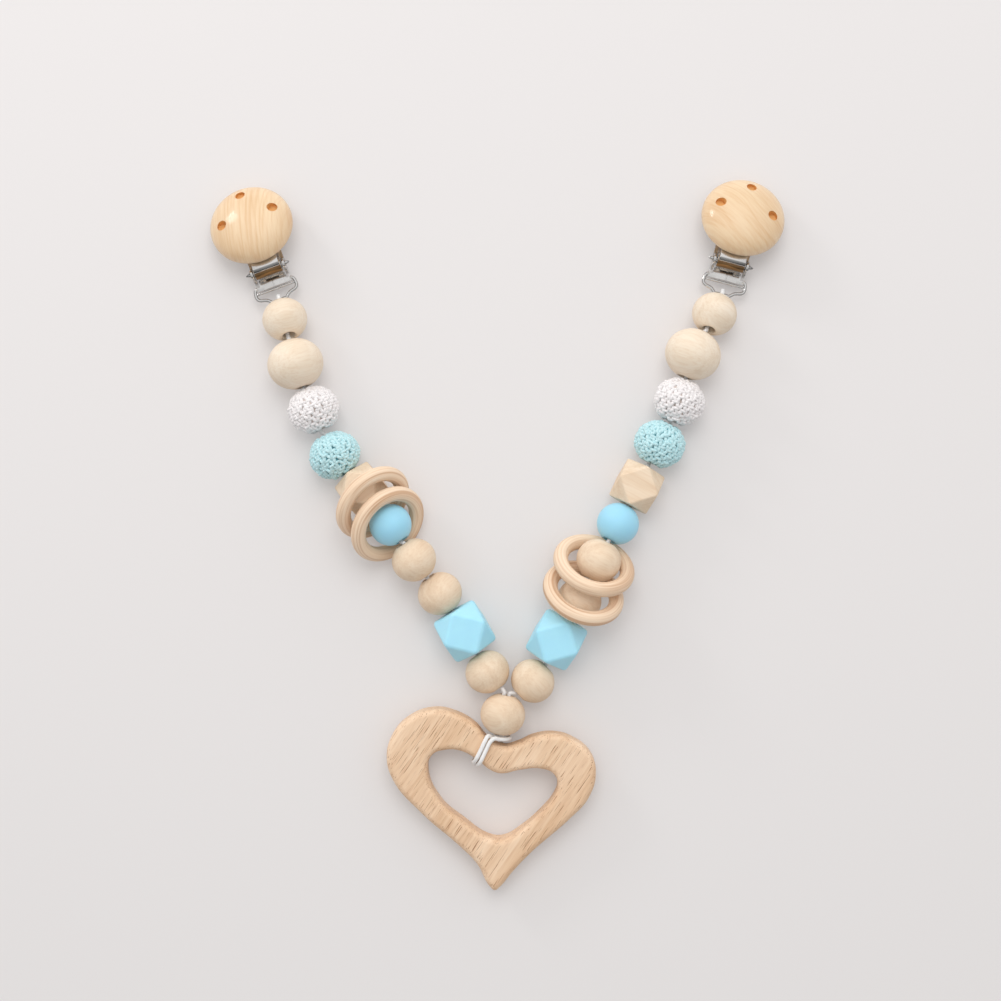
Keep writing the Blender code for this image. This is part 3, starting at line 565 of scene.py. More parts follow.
def covered_bead(node, cotton, core, slot, seed):
    """A core with the stitches laid round it in rounds from mouth to mouth."""
    bead = Bead(node)
    across = bead.radius - YARN_R
    along = bead.length / 2 - 0.5 * YARN_R
    waver = random.Random(seed)
    core_profile = round_profile(across - CORE_ACROSS_SHARE * YARN_R, 2 * (along - CORE_ALONG_SHARE * YARN_R))
    made_from(node + "_core", revolve(core_profile, CORE_STEPS), core, bead.place, node, slot, node)

    def spot(turn, climb, out):
        """A point on the cover: an angle round the axis, a latitude, and a height over the core."""
        return Vector(
            (
                (across + out) * math.cos(climb) * math.cos(turn),
                (across + out) * math.cos(climb) * math.sin(turn),
                (along + out) * math.sin(climb),
            )
        )

    bm = bmesh.new()
    step = STITCH_H / across
    limit = math.acos((HOLE_R + YARN_R) / across)
    rounds = int(2 * limit / step)
    step = 2 * limit / rounds
    for row in range(rounds):
        climb = -limit + (row + 0.5) * step
        ring_r = across * math.cos(climb)
        count = max(6, round(2 * math.pi * ring_r / STITCH_W))
        wide = 2 * math.pi / count
        start = waver.uniform(0, wide)
        for n in range(count):
            turn = start + n * wide + waver.uniform(-TURN_WAVER_SHARE, TURN_WAVER_SHARE) * wide
            lift = waver.uniform(*LIFT_SHARES) * YARN_R
            lean = waver.uniform(-LEAN_WAVER_SHARE, LEAN_WAVER_SHARE) * wide
            for sign in (-1, 1):
                route = []
                for (aside, up, out), leans, lifts in zip(LEG_SHARES, LEG_LEANS, MIDDLE_LIFTS):
                    here = turn + sign * aside * wide + lean * leans
                    route.append(spot(here, climb + up * step, out * YARN_R + lift * lifts))
                lobe(bm, smooth_route(route, LOBE_SPANS), YARN_R * waver.uniform(*LEG_SIZE_SHARES))
            route = []
            for (aside, up, out), lifts in zip(CROSS_SHARES, MIDDLE_LIFTS):
                route.append(spot(turn + aside * wide, climb + up * step, out * YARN_R + lift * lifts))
            lobe(bm, smooth_route(route, LOBE_SPANS), YARN_R * waver.uniform(*CROSS_SIZE_SHARES))
    made_from(node + "_cover", bm, cotton, bead.place, node, slot)


for at, side in enumerate(SIDES):
    covered_bead(f"{side}_aqua_bead", AQUA, AQUA_CORE_GAP_SHADE, "aqua_cotton", 11 + at)
    covered_bead(f"{side}_white_bead", WHITE, WHITE_CORE, "white_cotton", 21 + at)


# Rings
RING_STEPS = 96
RING_TUBE_STEPS = 28
RING_TRIM = 0.1 * MM


def ring(node):
    """A turned ring where its CAD solid is, with a round section a little thinner than the CAD one."""
    points = [v.co.copy() for v in frame["nodes"][node].data.vertices]
    centre = sum(points, Vector()) / len(points)
    first = points[0] - centre
    normal = max((first.cross(p - centre) for p in points), key=lambda c: c.length).normalized()
    for _ in range(8):
        tilt = sum(((p - centre).dot(normal) * (p - centre) for p in points), Vector())
        normal = (normal - tilt * (0.5 / sum((p - centre).length_squared for p in points) * 3)).normalized()
    place = frame_at(centre, normal if normal.z > 0 else -normal)
    local = place.inverted()
    spread = [local @ p for p in points]
    outer = max(math.hypot(p.x, p.y) for p in spread)
    tube_r = max(abs(p.z) for p in spread)
    profile = arc(outer - tube_r, 0, tube_r - RING_TRIM, 0, 360, RING_TUBE_STEPS)[:-1]
    bm = revolve(profile, RING_STEPS)
    return made_from(node + "_turned", bm, RING_WOOD, place, node, "bead_wood", node, grain=turned_place)


for side in SIDES:
    for number in (1, 2):
        ring(f"{side}_ring_{number}")

# Heart: outlines as shares of its width and height, from its left edge and its top
HEART_OUTER_SHARES = [
    (0.000, 0.256), (0.030, 0.139), (0.110, 0.045), (0.227, 0.000), (0.330, 0.021), (0.425, 0.084),
    (0.484, 0.160), (0.557, 0.203), (0.630, 0.186), (0.700, 0.150), (0.800, 0.135), (0.890, 0.165),
    (0.974, 0.244), (1.000, 0.345), (0.965, 0.490), (0.879, 0.601), (0.696, 0.785), (0.600, 0.900),
    (0.538, 0.985), (0.517, 1.000), (0.493, 0.980), (0.432, 0.855), (0.352, 0.760), (0.161, 0.568),
    (0.030, 0.391),
]
HEART_INNER_SHARES = [
    (0.197, 0.324), (0.220, 0.250), (0.275, 0.225), (0.350, 0.228), (0.430, 0.276), (0.500, 0.338),
    (0.550, 0.354), (0.630, 0.336), (0.740, 0.328), (0.800, 0.360), (0.817, 0.416), (0.800, 0.475),
    (0.740, 0.560), (0.640, 0.660), (0.560, 0.712), (0.495, 0.708), (0.374, 0.618), (0.250, 0.490),
]
HEART_WIDTH = 74.6 * MM
HEART_HEIGHT = 65.1 * MM
HEART_THICK = 10.0 * MM
HEART_EDGE_R = 2.3 * MM
CORD_D = 1.5 * MM
CORD_CLEAR = 0.3 * MM

# The frame's origin is the box's middle, and the routes below are set from the shared bead's drawn place
SHARED_DRAWN = Vector((2.4, -64.7, 9.44)) * MM
SHARED = Bead("shared_bead")
SHIFT = SHARED.centre - SHARED_DRAWN
HEART_LEFT = -39.0 * MM
HEART_TOP = -62.5 * MM
BAR_SHARE = 0.24


def heart():
    """The beech heart, its bar resting on the cord under it and its tip on the floor."""
    curve = bpy.data.curves.new("heart_outline", "CURVE")
    curve.dimensions = "2D"
    curve.fill_mode = "BOTH"
    curve.resolution_u = 12
    curve.extrude = HEART_THICK / 2 - HEART_EDGE_R
    curve.bevel_depth = HEART_EDGE_R
    curve.bevel_resolution = 6
    curve.offset = -HEART_EDGE_R
    for shares in (HEART_OUTER_SHARES, HEART_INNER_SHARES):
        loop = curve.splines.new("BEZIER")
        loop.bezier_points.add(len(shares) - 1)
        loop.use_cyclic_u = True
        for spot, (x_share, y_share) in zip(loop.bezier_points, shares):
            spot.co = (HEART_LEFT + x_share * HEART_WIDTH, HEART_TOP - y_share * HEART_HEIGHT, 0)
            spot.handle_left_type = "AUTO"
            spot.handle_right_type = "AUTO"
    drawn = bpy.data.objects.new("heart_drawn", curve)
    bpy.context.scene.collection.objects.link(drawn)
    bpy.context.view_layer.update()
    seen = drawn.evaluated_get(bpy.context.evaluated_depsgraph_get())
    bm = bmesh.new()
    bm.from_mesh(seen.to_mesh())
    bpy.data.objects.remove(drawn, do_unlink=True)
    bmesh.ops.remove_doubles(bm, verts=bm.verts, dist=1e-6)
    bar_y = HEART_TOP - BAR_SHARE * HEART_HEIGHT
    bar_under = CORD_D + 2 * CORD_CLEAR
    lean = math.asin(bar_under / (bar_y - (HEART_TOP - HEART_HEIGHT)))
    place = (
        Matrix.Translation(Vector((SHIFT.x, bar_y + SHIFT.y, bar_under + HEART_THICK / 2)))
        @ Matrix.Rotation(lean, 4, "X")
        @ Matrix.Translation(Vector((0, -bar_y, 0)))
    )
    made = made_from("heart_shaped", bm, BEECH, place, "heart", "beech", "heart", sharp=50)
    made.modifiers.new("even", "WEIGHTED_NORMAL").keep_sharp = True


heart()

# Cords
CORD_R = CORD_D / 2
CORD_SIDES = 14
STRAND_PITCH = 2.0 * MM
LOWER_INSET = 2.4 * MM
UPPER_INSET = 1.5 * MM
END_GAP = 0.7 * MM
STEADY = 1.2 * MM
LEAN_SHARE = 0.8
shared_side = SHARED.axis.cross(UP)
LOWER_MOUTH = Vector(JOINTS["heart_swing"]["pos_m"])
UPPER_MOUTH = Vector(JOINTS["left_strand_1_bend"]["pos_m"])


def cord(name, points, body):
    """A smooth woven cord along a route, riding on the body of its CAD length."""
    bm = tube(smooth_route(points, 8), CORD_R, CORD_SIDES)
    return made_from(name + "_woven", bm, CORD, Matrix(), body, "white_cord", name, sharp=60)


# The hitch: two turns over the heart's bar, starting and ending in the shared bead
HITCH_ROUTE_MM = [
    (-1.2, -72.7, 10.8), (-2.8, -72.0, 12.3), (-3.8, -73.4, 13.2), (-5.3, -76.6, 13.2), (-6.9, -79.8, 12.9),
    (-7.9, -81.4, 11.0), (-8.1, -81.8, 8.5), (-8.0, -81.8, 5.0), (-7.1, -81.0, 1.9), (-4.6, -78.4, 0.9),
    (-2.6, -76.0, 0.9), (-1.0, -74.0, 1.0), (1.0, -72.6, 1.3), (3.2, -72.5, 2.8), (4.7, -73.3, 5.2),
    (4.8, -73.5, 7.8), (4.1, -73.4, 10.0), (2.8, -73.3, 11.6), (1.0, -73.1, 12.4), (-0.6, -72.8, 13.1),
    (-2.1, -74.0, 13.2), (-3.8, -77.4, 13.2), (-5.4, -80.8, 12.9), (-6.4, -82.5, 11.0), (-6.6, -82.9, 8.2),
    (-6.4, -82.8, 5.0), (-5.4, -82.0, 1.9), (-2.4, -79.0, 0.9), (0.0, -76.9, 1.0), (1.8, -75.4, 1.9),
    (2.4, -74.4, 4.4), (2.2, -73.4, 7.2),
]
left_mouth = LOWER_MOUTH - shared_side * STRAND_PITCH / 2
right_mouth = LOWER_MOUTH + shared_side * STRAND_PITCH / 2
foot = SHARED.axis * (LOWER_INSET - END_GAP)
hitch = [Vector(p) * MM + SHIFT for p in HITCH_ROUTE_MM]
cord("heart_hitch_cord", [left_mouth + foot, left_mouth, *hitch, right_mouth, right_mouth + foot], "heart")


def leaning(mouth, into, target):
    """A cord's points at a bore's mouth, inner one first, moved towards where the cord goes next."""
    aside = target - mouth
    aside -= into * aside.dot(into)
    play = LEAN_SHARE * (HOLE_R - CORD_R - CORD_CLEAR)
    if aside.length <= play:
        return [mouth + aside]
    inner = mouth + aside.normalized() * play
    return [inner + into * STEADY, inner]


STRAND = ("wood_c", "facet_blue", "wood_b", "wood_a", "blue", "facet_wood", "aqua", "white", "big", "small")


def strand_cords(side, sign):
    """One cord from each bend to the next, straight through a faceted bead."""
    offset = shared_side * (sign * STRAND_PITCH / 2)
    low = LOWER_MOUTH + offset + SHARED.axis * LOWER_INSET
    high = UPPER_MOUTH + offset - SHARED.axis * UPPER_INSET
    cord(f"{side}_cord_0", [low, high], "shared_strands")
    exit_point = UPPER_MOUTH + offset + SHARED.axis * CORD_D / 4
    route = [UPPER_MOUTH + offset - SHARED.axis * (UPPER_INSET - END_GAP), exit_point]
    beads = [Bead(f"{side}_{name}_bead") for name in STRAND]
    mouths = [(b.centre - b.axis * b.length / 2, b.centre + b.axis * b.length / 2) for b in beads]
    number = 1
    for i, bead in enumerate(beads):
        came_from = mouths[i - 1][1] if i else exit_point + SHARED.axis * CORD_D
        leave = leaning(mouths[i][1], -bead.axis, mouths[i + 1][0]) if i + 1 < len(beads) else []
        route += reversed(leaning(mouths[i][0], bead.axis, came_from))
        if "facet" in bead.node:
            route += [bead.centre, *leave]
            continue
        route.append(bead.centre - bead.axis * (END_GAP / 2))
        cord(f"{side}_cord_{number}", route, f"{side}_strand_{number}")
        number += 1
        route = [bead.centre + bead.axis * (END_GAP / 2), *leave]


for side, sign in (("left", -1), ("right", 1)):
    strand_cords(side, sign)

# Clips, in each clip's own axes: X across, Y from the cord loop towards the jaw, Z up, in millimetres
SHEET = 1.0
CUT_OVER = 1.0
AXLE_Y = 10.2
AXLE_Z = 4.6
AXLE_R = 0.9
AXLE_HALF = 8.2
BORE_R = AXLE_R + 0.3
BORE_HALF = 9.0
BORE_STEPS = 24
BAR_Y = 3.55
BAR_R = 0.42
BAR_HALF = 6.6
BAR_FOOT = 7.3
PLATE_HALF = 6.5
PLATE_START = 4.4
PLATE_END = 33.7
PLATE_CORNER_R = 2.0
SHOULDER = 0.2
SHOULDER_L = 1.2
SHOULDER_END = 2.0
WIRE_END_Y = -0.8
WIRE_R = 0.65
WIRE_SIDES = 14
# The right half of the loop wire's route, seen from above, from the plate to the wire's end
WIRE_ROUTE = (
    (6.9, 5.4), (7.35, 4.9), (7.6, 3.8), (7.65, 2.8), (7.35, 1.8), (6.5, 1.2), (5.2, 0.85), (4.1, 0.4),
    (3.3, -0.3), (2.6, -0.85), (1.6, WIRE_END_Y), (0.6, WIRE_END_Y),
)
WIRE_START = (6.2, 5.7, 0.6)
RIDGE = 0.35
RIDGE_HALF = 4.9
CREASE_HALF = 0.35
CREASE_DEEP = 0.5
CREASE_RISE = 0.6
NOTCH_W = 1.0
NOTCH_HALF = 3.0
FOOT_IN = 5.1
FOOT_OUT = 6.2
FOOT_START = 5.9
FOOT_END = 7.3
EAR_IN = 5.45
EAR_OUT = 6.45
EAR_TOP_R = 2.0
EAR_FOOT = 3.1
EAR_NECK = 2.9
EAR_NECK_Z = 2.4
EAR_FOOT_Z = 0.5
EAR_SOFT = 0.28
LEVER_HALF = 5.15
KNUCKLE_R = 2.3
KNUCKLE_IN = 2.9
KNUCKLE_SOFT = 0.25
LEVER_BAR_R = 1.7
WEB_IN = 0.4
LIP_IN = 0.2
LIP_BACK = (0.4, -0.3)
LIP_EDGE = (-0.2, 7.15)
LIP_EDGE_R = 0.32
BOSS_X = 2.6
BOSS_PLACE = (-0.7, 7.1)
BOSS_R = 0.45
CAP_R = 15.0
CAP_RISE = 7.8
CAP_RIM = 1.6
CAP_OUT = 16.0
CAP_UNDER_Z = 5.4
CAP_TILT = math.radians(15)
CAP_HOLE_R = 1.8
CAP_HOLE_DEEP = 2.4
CAP_HOLE_OUT = 9.5
CAP_HOLE_TURNS = (0.0, 88.0, -88.0)
CAP_SKIN = 0.12
CAP_ARC_STEPS = 24
CAP_EDGE_R = 1.2
CAP_STEPS = 72
RIVET_HOLE_R = 1.4
RIVET_HOLE_DEEP = 3.0
# The rivet's (radius, height), from its end in the cap to its head under the plate
RIVET_PROFILE = ((0, 2.7), (1.1, 2.7), (1.1, -1.6), (2.3, -1.6), (2.1, -1.95), (1.5, -2.2), (0, -2.3))
CAP_GRAIN_TURNS = {"left": 12.0, "right": -60.0}
PAD_HALF = 5.0
PAD_L = 8.5
PAD_LOW = 1.3
PAD_H = 1.0
RIBS = 9
RIB_FOOT_SHARE = 0.6


def clip_axes(side):
    """The clip's own axes, from its joints, with lengths in millimetres."""
    x = Vector(JOINTS[f"{side}_lever_open"]["axis"]).normalized()
    z = Vector(JOINTS[f"{side}_clip_swing"]["axis"]).normalized()
    y = z.cross(x)
    origin = Vector(JOINTS[f"{side}_clip_swing"]["pos_m"]) - z * (SHEET / 2 * MM)
    return Matrix.Translation(origin) @ Matrix((x, y, z)).transposed().to_4x4() @ Matrix.Scale(MM, 4)


def slab(points, low, high, soft=0.0, across="Z"):
    """A flat outline given thickness, its edges softened. Across X, the points are (y, z)."""
    bm = bmesh.new()
    rows = []
    for level in (low, high):
        row = []
        for a, b in points:
            row.append(bm.verts.new((a, b, level) if across == "Z" else (level, a, b)))
        rows.append(row)
    bm.faces.new(rows[0])
    bm.faces.new(rows[1])
    for i in range(len(points)):
        j = (i + 1) % len(points)
        bm.faces.new((rows[0][i], rows[0][j], rows[1][j], rows[1][i]))
    bmesh.ops.recalc_face_normals(bm, faces=bm.faces)
    if soft:
        edges = [e for e in bm.edges if len(e.link_faces) == 2 and e.calc_face_angle() > math.radians(25)]
        bmesh.ops.bevel(bm, geom=edges, offset=soft, segments=2, affect="EDGES", profile=0.5)
    return bm


def joined(*parts):
    """Several closed forms as one bmesh."""
    out = bmesh.new()
    for part in parts:
        mesh = bpy.data.meshes.new("part")
        bmesh.ops.recalc_face_normals(part, faces=part.faces)
        part.to_mesh(mesh)
        part.free()
        out.from_mesh(mesh)
        bpy.data.meshes.remove(mesh)
    return out


def both_sides(half):
    """A route from its right half, run on to the left half."""
    return half + [(-x, y, z) for x, y, z in reversed(half) if x > 0]


# Turns a slab's Z to run along a clip's Y, its outline's second number becoming the height
UPRIGHT = Matrix(((1, 0, 0, 0), (0, 0, 1, 0), (0, 1, 0, 0), (0, 0, 0, 1)))


AXLE_PLACE = Matrix.Translation(Vector((0, AXLE_Y, AXLE_Z))) @ Matrix.Rotation(math.radians(90), 4, "Y")


def axle_bore():
    """A cutter for the bore that the axle runs through."""
    return rod(BORE_R, -BORE_HALF, BORE_HALF, BORE_STEPS, AXLE_PLACE)


def steel(name, made_how, bm, place, body, sharp):
    """A nickel-plated piece in the place of the CAD node of that name."""
    return made_from(f"{name}_{made_how}", bm, STEEL, place, body, "nickel_steel", name, sharp=sharp)


def clip_base(side, axes):
    """The stamped base: ridged jaw plate, bent loop wire, cross bar and two ears."""
    shoulder = PLATE_HALF + SHOULDER
    corner_x = PLATE_HALF - PLATE_CORNER_R
    corner_y = PLATE_END - PLATE_CORNER_R
    outline = [
        (shoulder, PLATE_START),
        (shoulder, PLATE_START + SHOULDER_L),
        (PLATE_HALF, PLATE_START + SHOULDER_END),
        *arc(corner_x, corner_y, PLATE_CORNER_R, 0, 90, 6),
        *arc(-corner_x, corner_y, PLATE_CORNER_R, 90, 180, 6),
        (-PLATE_HALF, PLATE_START + SHOULDER_END),
        (-shoulder, PLATE_START + SHOULDER_L),
        (-shoulder, PLATE_START),
    ]
    plate = slab(outline, 0.0, SHEET, 0.12)
    cutters = []
    for sign in (-1, 1):
        inner, outer = sorted((sign * (EAR_IN - NOTCH_W), sign * EAR_IN))
        near, far = AXLE_Y - NOTCH_HALF, AXLE_Y + NOTCH_HALF
        notch = [(inner, near), (outer, near), (outer, far), (inner, far)]
        cutters.append(slab(notch, -CUT_OVER, SHEET + CUT_OVER))
        inner, outer = sign * FOOT_IN, sign * FOOT_OUT
        foot = [(inner, FOOT_START), (outer, FOOT_START), (outer, FOOT_END), (inner, FOOT_END)]
        cutters.append(slab(foot, -CUT_OVER, SHEET + CUT_OVER))
    plate = carved(plate, *cutters)
    half = [WIRE_START] + [(x, y, WIRE_R) for x, y in WIRE_ROUTE]
    loop = tube(smooth_route(both_sides(half), 5), WIRE_R, WIRE_SIDES)
    foot_z, bar_z = 0.6, 0.8
    bar_line = [(-BAR_FOOT, BAR_Y, foot_z), (-BAR_HALF, BAR_Y, bar_z)]
    bar_line += [(BAR_HALF, BAR_Y, bar_z), (BAR_FOOT, BAR_Y, foot_z)]
    bar = tube(smooth_route(bar_line, 4), BAR_R, 12)
    sunk = SHEET - 0.1
    ridge = [(-RIDGE_HALF, sunk), (0.0, SHEET + RIDGE), (RIDGE_HALF, sunk)]
    ridge = slab(ridge, PLATE_START + 0.1, AXLE_Y - 2.0)
    crease_top = SHEET + CREASE_RISE
    crease = [(-CREASE_HALF, crease_top), (CREASE_HALF, crease_top), (0.0, SHEET - CREASE_DEEP)]
    crease = slab(crease, PLATE_START, AXLE_Y)
    for form in (ridge, crease):
        bmesh.ops.transform(form, matrix=UPRIGHT, verts=form.verts)
    ridge = carved(ridge, crease)
    forms = [plate, ridge, loop, bar]
    for sign in (-1, 1):
        outline = [(AXLE_Y - EAR_FOOT, EAR_FOOT_Z), (AXLE_Y - EAR_NECK, EAR_NECK_Z)]
        outline += arc(AXLE_Y, AXLE_Z, EAR_TOP_R, 190, -10, 14)
        outline += [(AXLE_Y + EAR_NECK, EAR_NECK_Z), (AXLE_Y + EAR_FOOT, EAR_FOOT_Z)]
        inner, outer = sorted((sign * EAR_IN, sign * EAR_OUT))
        ear = slab(outline, inner, outer, EAR_SOFT, across="X")
        forms.append(carved(ear, axle_bore()))
    name = f"{side}_clip_base"
    return steel(name, "stamped", joined(*forms), axes, f"{side}_clip", 35)


def clip_axle(side, axes):
    """The axle with a tapered nub outside each ear."""
    neck = EAR_OUT + 0.3
    half = [(r, AXLE_HALF - z) for r, z in ((0, 0), (0.3, 0.05), (0.5, 0.3), (0.8, 0.95))]
    half += [(1.0, neck), (AXLE_R, neck - 0.1)]
    profile = half + [(r, -z) for r, z in reversed(half)]
    name = f"{side}_clip_axle"
    return steel(name, "turned", revolve_solid(profile, 28), axes @ AXLE_PLACE, f"{side}_clip", 40)


def clip_lever(side, axes):
    """The lever: two knuckles with a thin bar between them, a thumb lip painted warm as a reflection of the
    wooden cap, and the plate under the cap.
    """
    slope = math.tan(CAP_TILT)
    top = CAP_UNDER_Z - 0.3

    def under_cap(y):
        return top - slope * (y - CAP_OUT)

    tip = CAP_OUT + PAD_L / 2
    side_view = [
        (1.2, AXLE_Z), (1.2, under_cap(1.2) - 2.0), (2.4, under_cap(2.4) - SHEET),
        (tip, under_cap(tip) - SHEET), (tip, under_cap(tip)),
        (0.0, under_cap(0.0)), (-1.1, under_cap(0.0) - 1.0), (-1.1, AXLE_Z),
    ]
    web_half = LEVER_HALF - WEB_IN
    forms = [slab([(AXLE_Y + y, z) for y, z in side_view], -web_half, web_half, 0.15, across="X")]
    for low, high in ((-LEVER_HALF, -KNUCKLE_IN), (KNUCKLE_IN, LEVER_HALF)):
        knuckle = rod(KNUCKLE_R, low, high, 36, AXLE_PLACE)
        edges = [e for e in knuckle.edges if e.calc_face_angle() > math.radians(60)]
        bmesh.ops.bevel(knuckle, geom=edges, offset=KNUCKLE_SOFT, segments=2, affect="EDGES", profile=0.5)
        forms.append(knuckle)
    reach = KNUCKLE_IN + 0.1
    forms.append(rod(LEVER_BAR_R, -reach, reach, 28, AXLE_PLACE))
    bored = [carved(form, axle_bore()) for form in forms]
    name = f"{side}_clip_lever"
    body = f"{side}_lever"
    steel(name, "stamped", joined(*bored), axes, body, 35)

    lip_line = [(-0.2, 7.2), (-0.9, 7.1), (-1.6, 6.7), (-2.1, 6.1), (-2.4, 5.4), (-2.5, 4.6)]
    back = [(y + LIP_BACK[0], z + LIP_BACK[1]) for y, z in reversed(lip_line)]
    lip_half = LEVER_HALF - LIP_IN
    lip = slab([(AXLE_Y + y, z) for y, z in lip_line + back], -lip_half, lip_half, 0.1, across="X")
    edge_ends = [Vector((x, AXLE_Y + LIP_EDGE[0], LIP_EDGE[1])) for x in (-lip_half, lip_half)]
    edge = tube(edge_ends, LIP_EDGE_R, 10)
    made_from(name + "_edge", edge, PALE_STEEL_WOOD_REFLECTION, axes, body, "nickel_steel")
    bosses = []
    for x in (-BOSS_X, BOSS_X):
        boss = bmesh.new()
        spot = Matrix.Translation(Vector((x, AXLE_Y + BOSS_PLACE[0], BOSS_PLACE[1])))
        bmesh.ops.create_uvsphere(boss, u_segments=16, v_segments=10, radius=BOSS_R, matrix=spot)
        bosses.append(boss)
    return made_from(name + "_lip", joined(lip, *bosses), STEEL_WOOD_REFLECTION, axes, body, "nickel_steel", sharp=40)


def cap_axes(axes):
    """The middle of the cap's flat underside, with Z out of the dome."""
    middle = Matrix.Translation(Vector((0, AXLE_Y + CAP_OUT, CAP_UNDER_Z)))
    return axes @ middle @ Matrix.Rotation(-CAP_TILT, 4, "X")


def clip_cap(side, axes):
    """The lacquered cap: a turned dome over a flat underside, with three blind holes."""
    profile = [(0, CAP_RIM + CAP_RISE)]
    for i in range(1, CAP_ARC_STEPS + 1):
        t = math.radians(90) * i / CAP_ARC_STEPS
        profile.append((CAP_R * math.sin(t), CAP_RIM + CAP_RISE * math.cos(t)))
    profile += arc(CAP_R - CAP_EDGE_R, CAP_EDGE_R, CAP_EDGE_R, 0, -90, 5)
    profile.append((0, 0))
    reach = CAP_HOLE_OUT / CAP_R
    dome = CAP_RIM + CAP_RISE * math.sqrt(1 - reach**2)
    spots = []
    for turn in CAP_HOLE_TURNS:
        a = math.radians(turn)
        spots.append(Vector((CAP_HOLE_OUT * math.sin(a), CAP_HOLE_OUT * math.cos(a), dome)))
    over = 3 * CUT_OVER
    cutters = [rod(CAP_HOLE_R, -CAP_HOLE_DEEP, over, 36, Matrix.Translation(spot)) for spot in spots]
    cutters.append(rod(RIVET_HOLE_R, -CUT_OVER, RIVET_HOLE_DEEP, 24))
    bm = carved(revolve_solid(profile, CAP_STEPS), *cutters)
    name = f"{side}_clip_cap"
    turn = Matrix.Rotation(math.radians(CAP_GRAIN_TURNS[side]), 3, "Z")
    made = made_from(
        name + "_turned", bm, CAP_WOOD, cap_axes(axes), f"{side}_lever", "lacquered_wood", name, sharp=30,
        grain=lambda p: turn @ p,
    )
    made.data.materials.append(HOLE_WOOD)
    inward = cap_axes(axes).inverted()
    for face in made.data.polygons:
        here = inward @ face.center
        skin = CAP_RIM + CAP_RISE * math.sqrt(max(0, 1 - here.xy.length_squared / CAP_R**2))
        for spot in spots:
            if (here - spot).xy.length < CAP_HOLE_R * 1.02 and here.z < skin - CAP_SKIN:
                face.material_index = 1
    return made


def clip_rivet(side, axes):
    """The rivet that holds the lever's plate to the cap."""
    bm = revolve_solid(RIVET_PROFILE, 28)
    return steel(f"{side}_clip_rivet", "turned", bm, cap_axes(axes), f"{side}_lever", 40)


def clip_pad(side, axes):
    """The ribbed plastic grip pad on the jaw plate."""
    end = PLATE_END - SHEET
    rib_foot = PAD_LOW + RIB_FOOT_SHARE * PAD_H
    outline = [(end, PAD_LOW), (end - PAD_L, PAD_LOW)]
    pitch = PAD_L / RIBS
    for i in range(RIBS):
        start = end - PAD_L + i * pitch
        outline += [(start + 0.1 * pitch, rib_foot), (start + 0.5 * pitch, PAD_LOW + PAD_H)]
    outline.append((end, rib_foot))
    name = f"{side}_clip_pad"
    bm = slab(outline, -PAD_HALF, PAD_HALF, 0.08, across="X")
    return made_from(name + "_moulded", bm, GRIP, axes, f"{side}_clip", "grip_plastic", name, sharp=30)


LOOP_R = 1.5 * MM
LOOP_TURNS = (120, 75, 30, -30, -80, -128)


def loop_cord(side, axes):
    """The cord from the small bead round the wire of the clip's loop and back into the bead."""
    bead = Bead(f"{side}_small_bead")
    up = bead.axis.cross(UP.cross(bead.axis)).normalized()
    spread = up * (STRAND_PITCH / 2)
    mouth = bead.centre + bead.axis * bead.length / 2
    inner = mouth - bead.axis * STEADY
    start = bead.centre + bead.axis * (END_GAP / 2)
    wire = axes @ Vector((0, WIRE_END_Y, WIRE_R))
    out = (axes.to_3x3() @ Vector((0, 1, 0))).normalized()
    high = (axes.to_3x3() @ Vector((0, 0, 1))).normalized()
    route = [start + spread, inner + spread, mouth + spread]
    for degrees in LOOP_TURNS:
        a = math.radians(degrees)
        route.append(wire + out * (LOOP_R * math.cos(a)) + high * (LOOP_R * math.sin(a)))
    route += [mouth - spread, inner - spread, start - spread]
    return cord(f"{side}_clip_cord", route, f"{side}_clip_cord")


for side in SIDES:
    axes = clip_axes(side)
    clip_base(side, axes)
    clip_axle(side, axes)
    clip_lever(side, axes)
    clip_cap(side, axes)
    clip_rivet(side, axes)
    clip_pad(side, axes)
    loop_cord(side, axes)

# Floor, lights and camera
FLOOR_HALF = 3.0
FLOOR_GLOW_SHARE = 0.22
FLOOR_NEAR_Y = -0.167
FLOOR_FAR_Y = 0.191


def studio_floor():
    """The pale floor. To the camera alone, a share of it glows with painted light, darker towards the near
    side as a painted light falloff, which keeps its shadows soft.
    """
    material = plain("floor", linear(234, 230, 229), Roughness=0.95)
    made = Shader("floor_plain")
    bpy.data.materials.remove(made.material)
    made.tree = material.node_tree
    spot = made.node("SeparateXYZ", {"Vector": made.node("NewGeometry").outputs["Position"]}).outputs["Y"]
    along = made.node("MapRange", {"Value": spot}, **{"From Min": FLOOR_NEAR_Y, "From Max": FLOOR_FAR_Y})
    # Painted light falloff: the glow is darker towards the near side and lighter towards the far side.
    tone = made.ramp(along.outputs["Result"], [(0.0, linear(223, 221, 220)), (1.0, linear(240, 236, 235))])
    painted_glow = made.node("Emission", {"Color": tone})
    seen = made.node("Math", {0: made.node("LightPath").outputs["Is Camera Ray"]}, operation="MULTIPLY")
    seen.inputs[1].default_value = FLOOR_GLOW_SHARE
    both = made.node("MixShader", {0: seen.outputs[0], 2: painted_glow.outputs[0]})
    made.tree.links.new(made.tree.nodes["Principled BSDF"].outputs[0], both.inputs[1])
    made.tree.links.new(both.outputs[0], made.tree.nodes["Material Output"].inputs["Surface"])
    return material


FLOOR = studio_floor()
bm = bmesh.new()
bmesh.ops.create_grid(bm, x_segments=1, y_segments=1, size=FLOOR_HALF)
mesh = bpy.data.meshes.new("floor")
bm.to_mesh(mesh)
bm.free()
floor = bpy.data.objects.new("floor", mesh)
bpy.context.scene.collection.objects.link(floor)
mesh.materials.append(FLOOR)

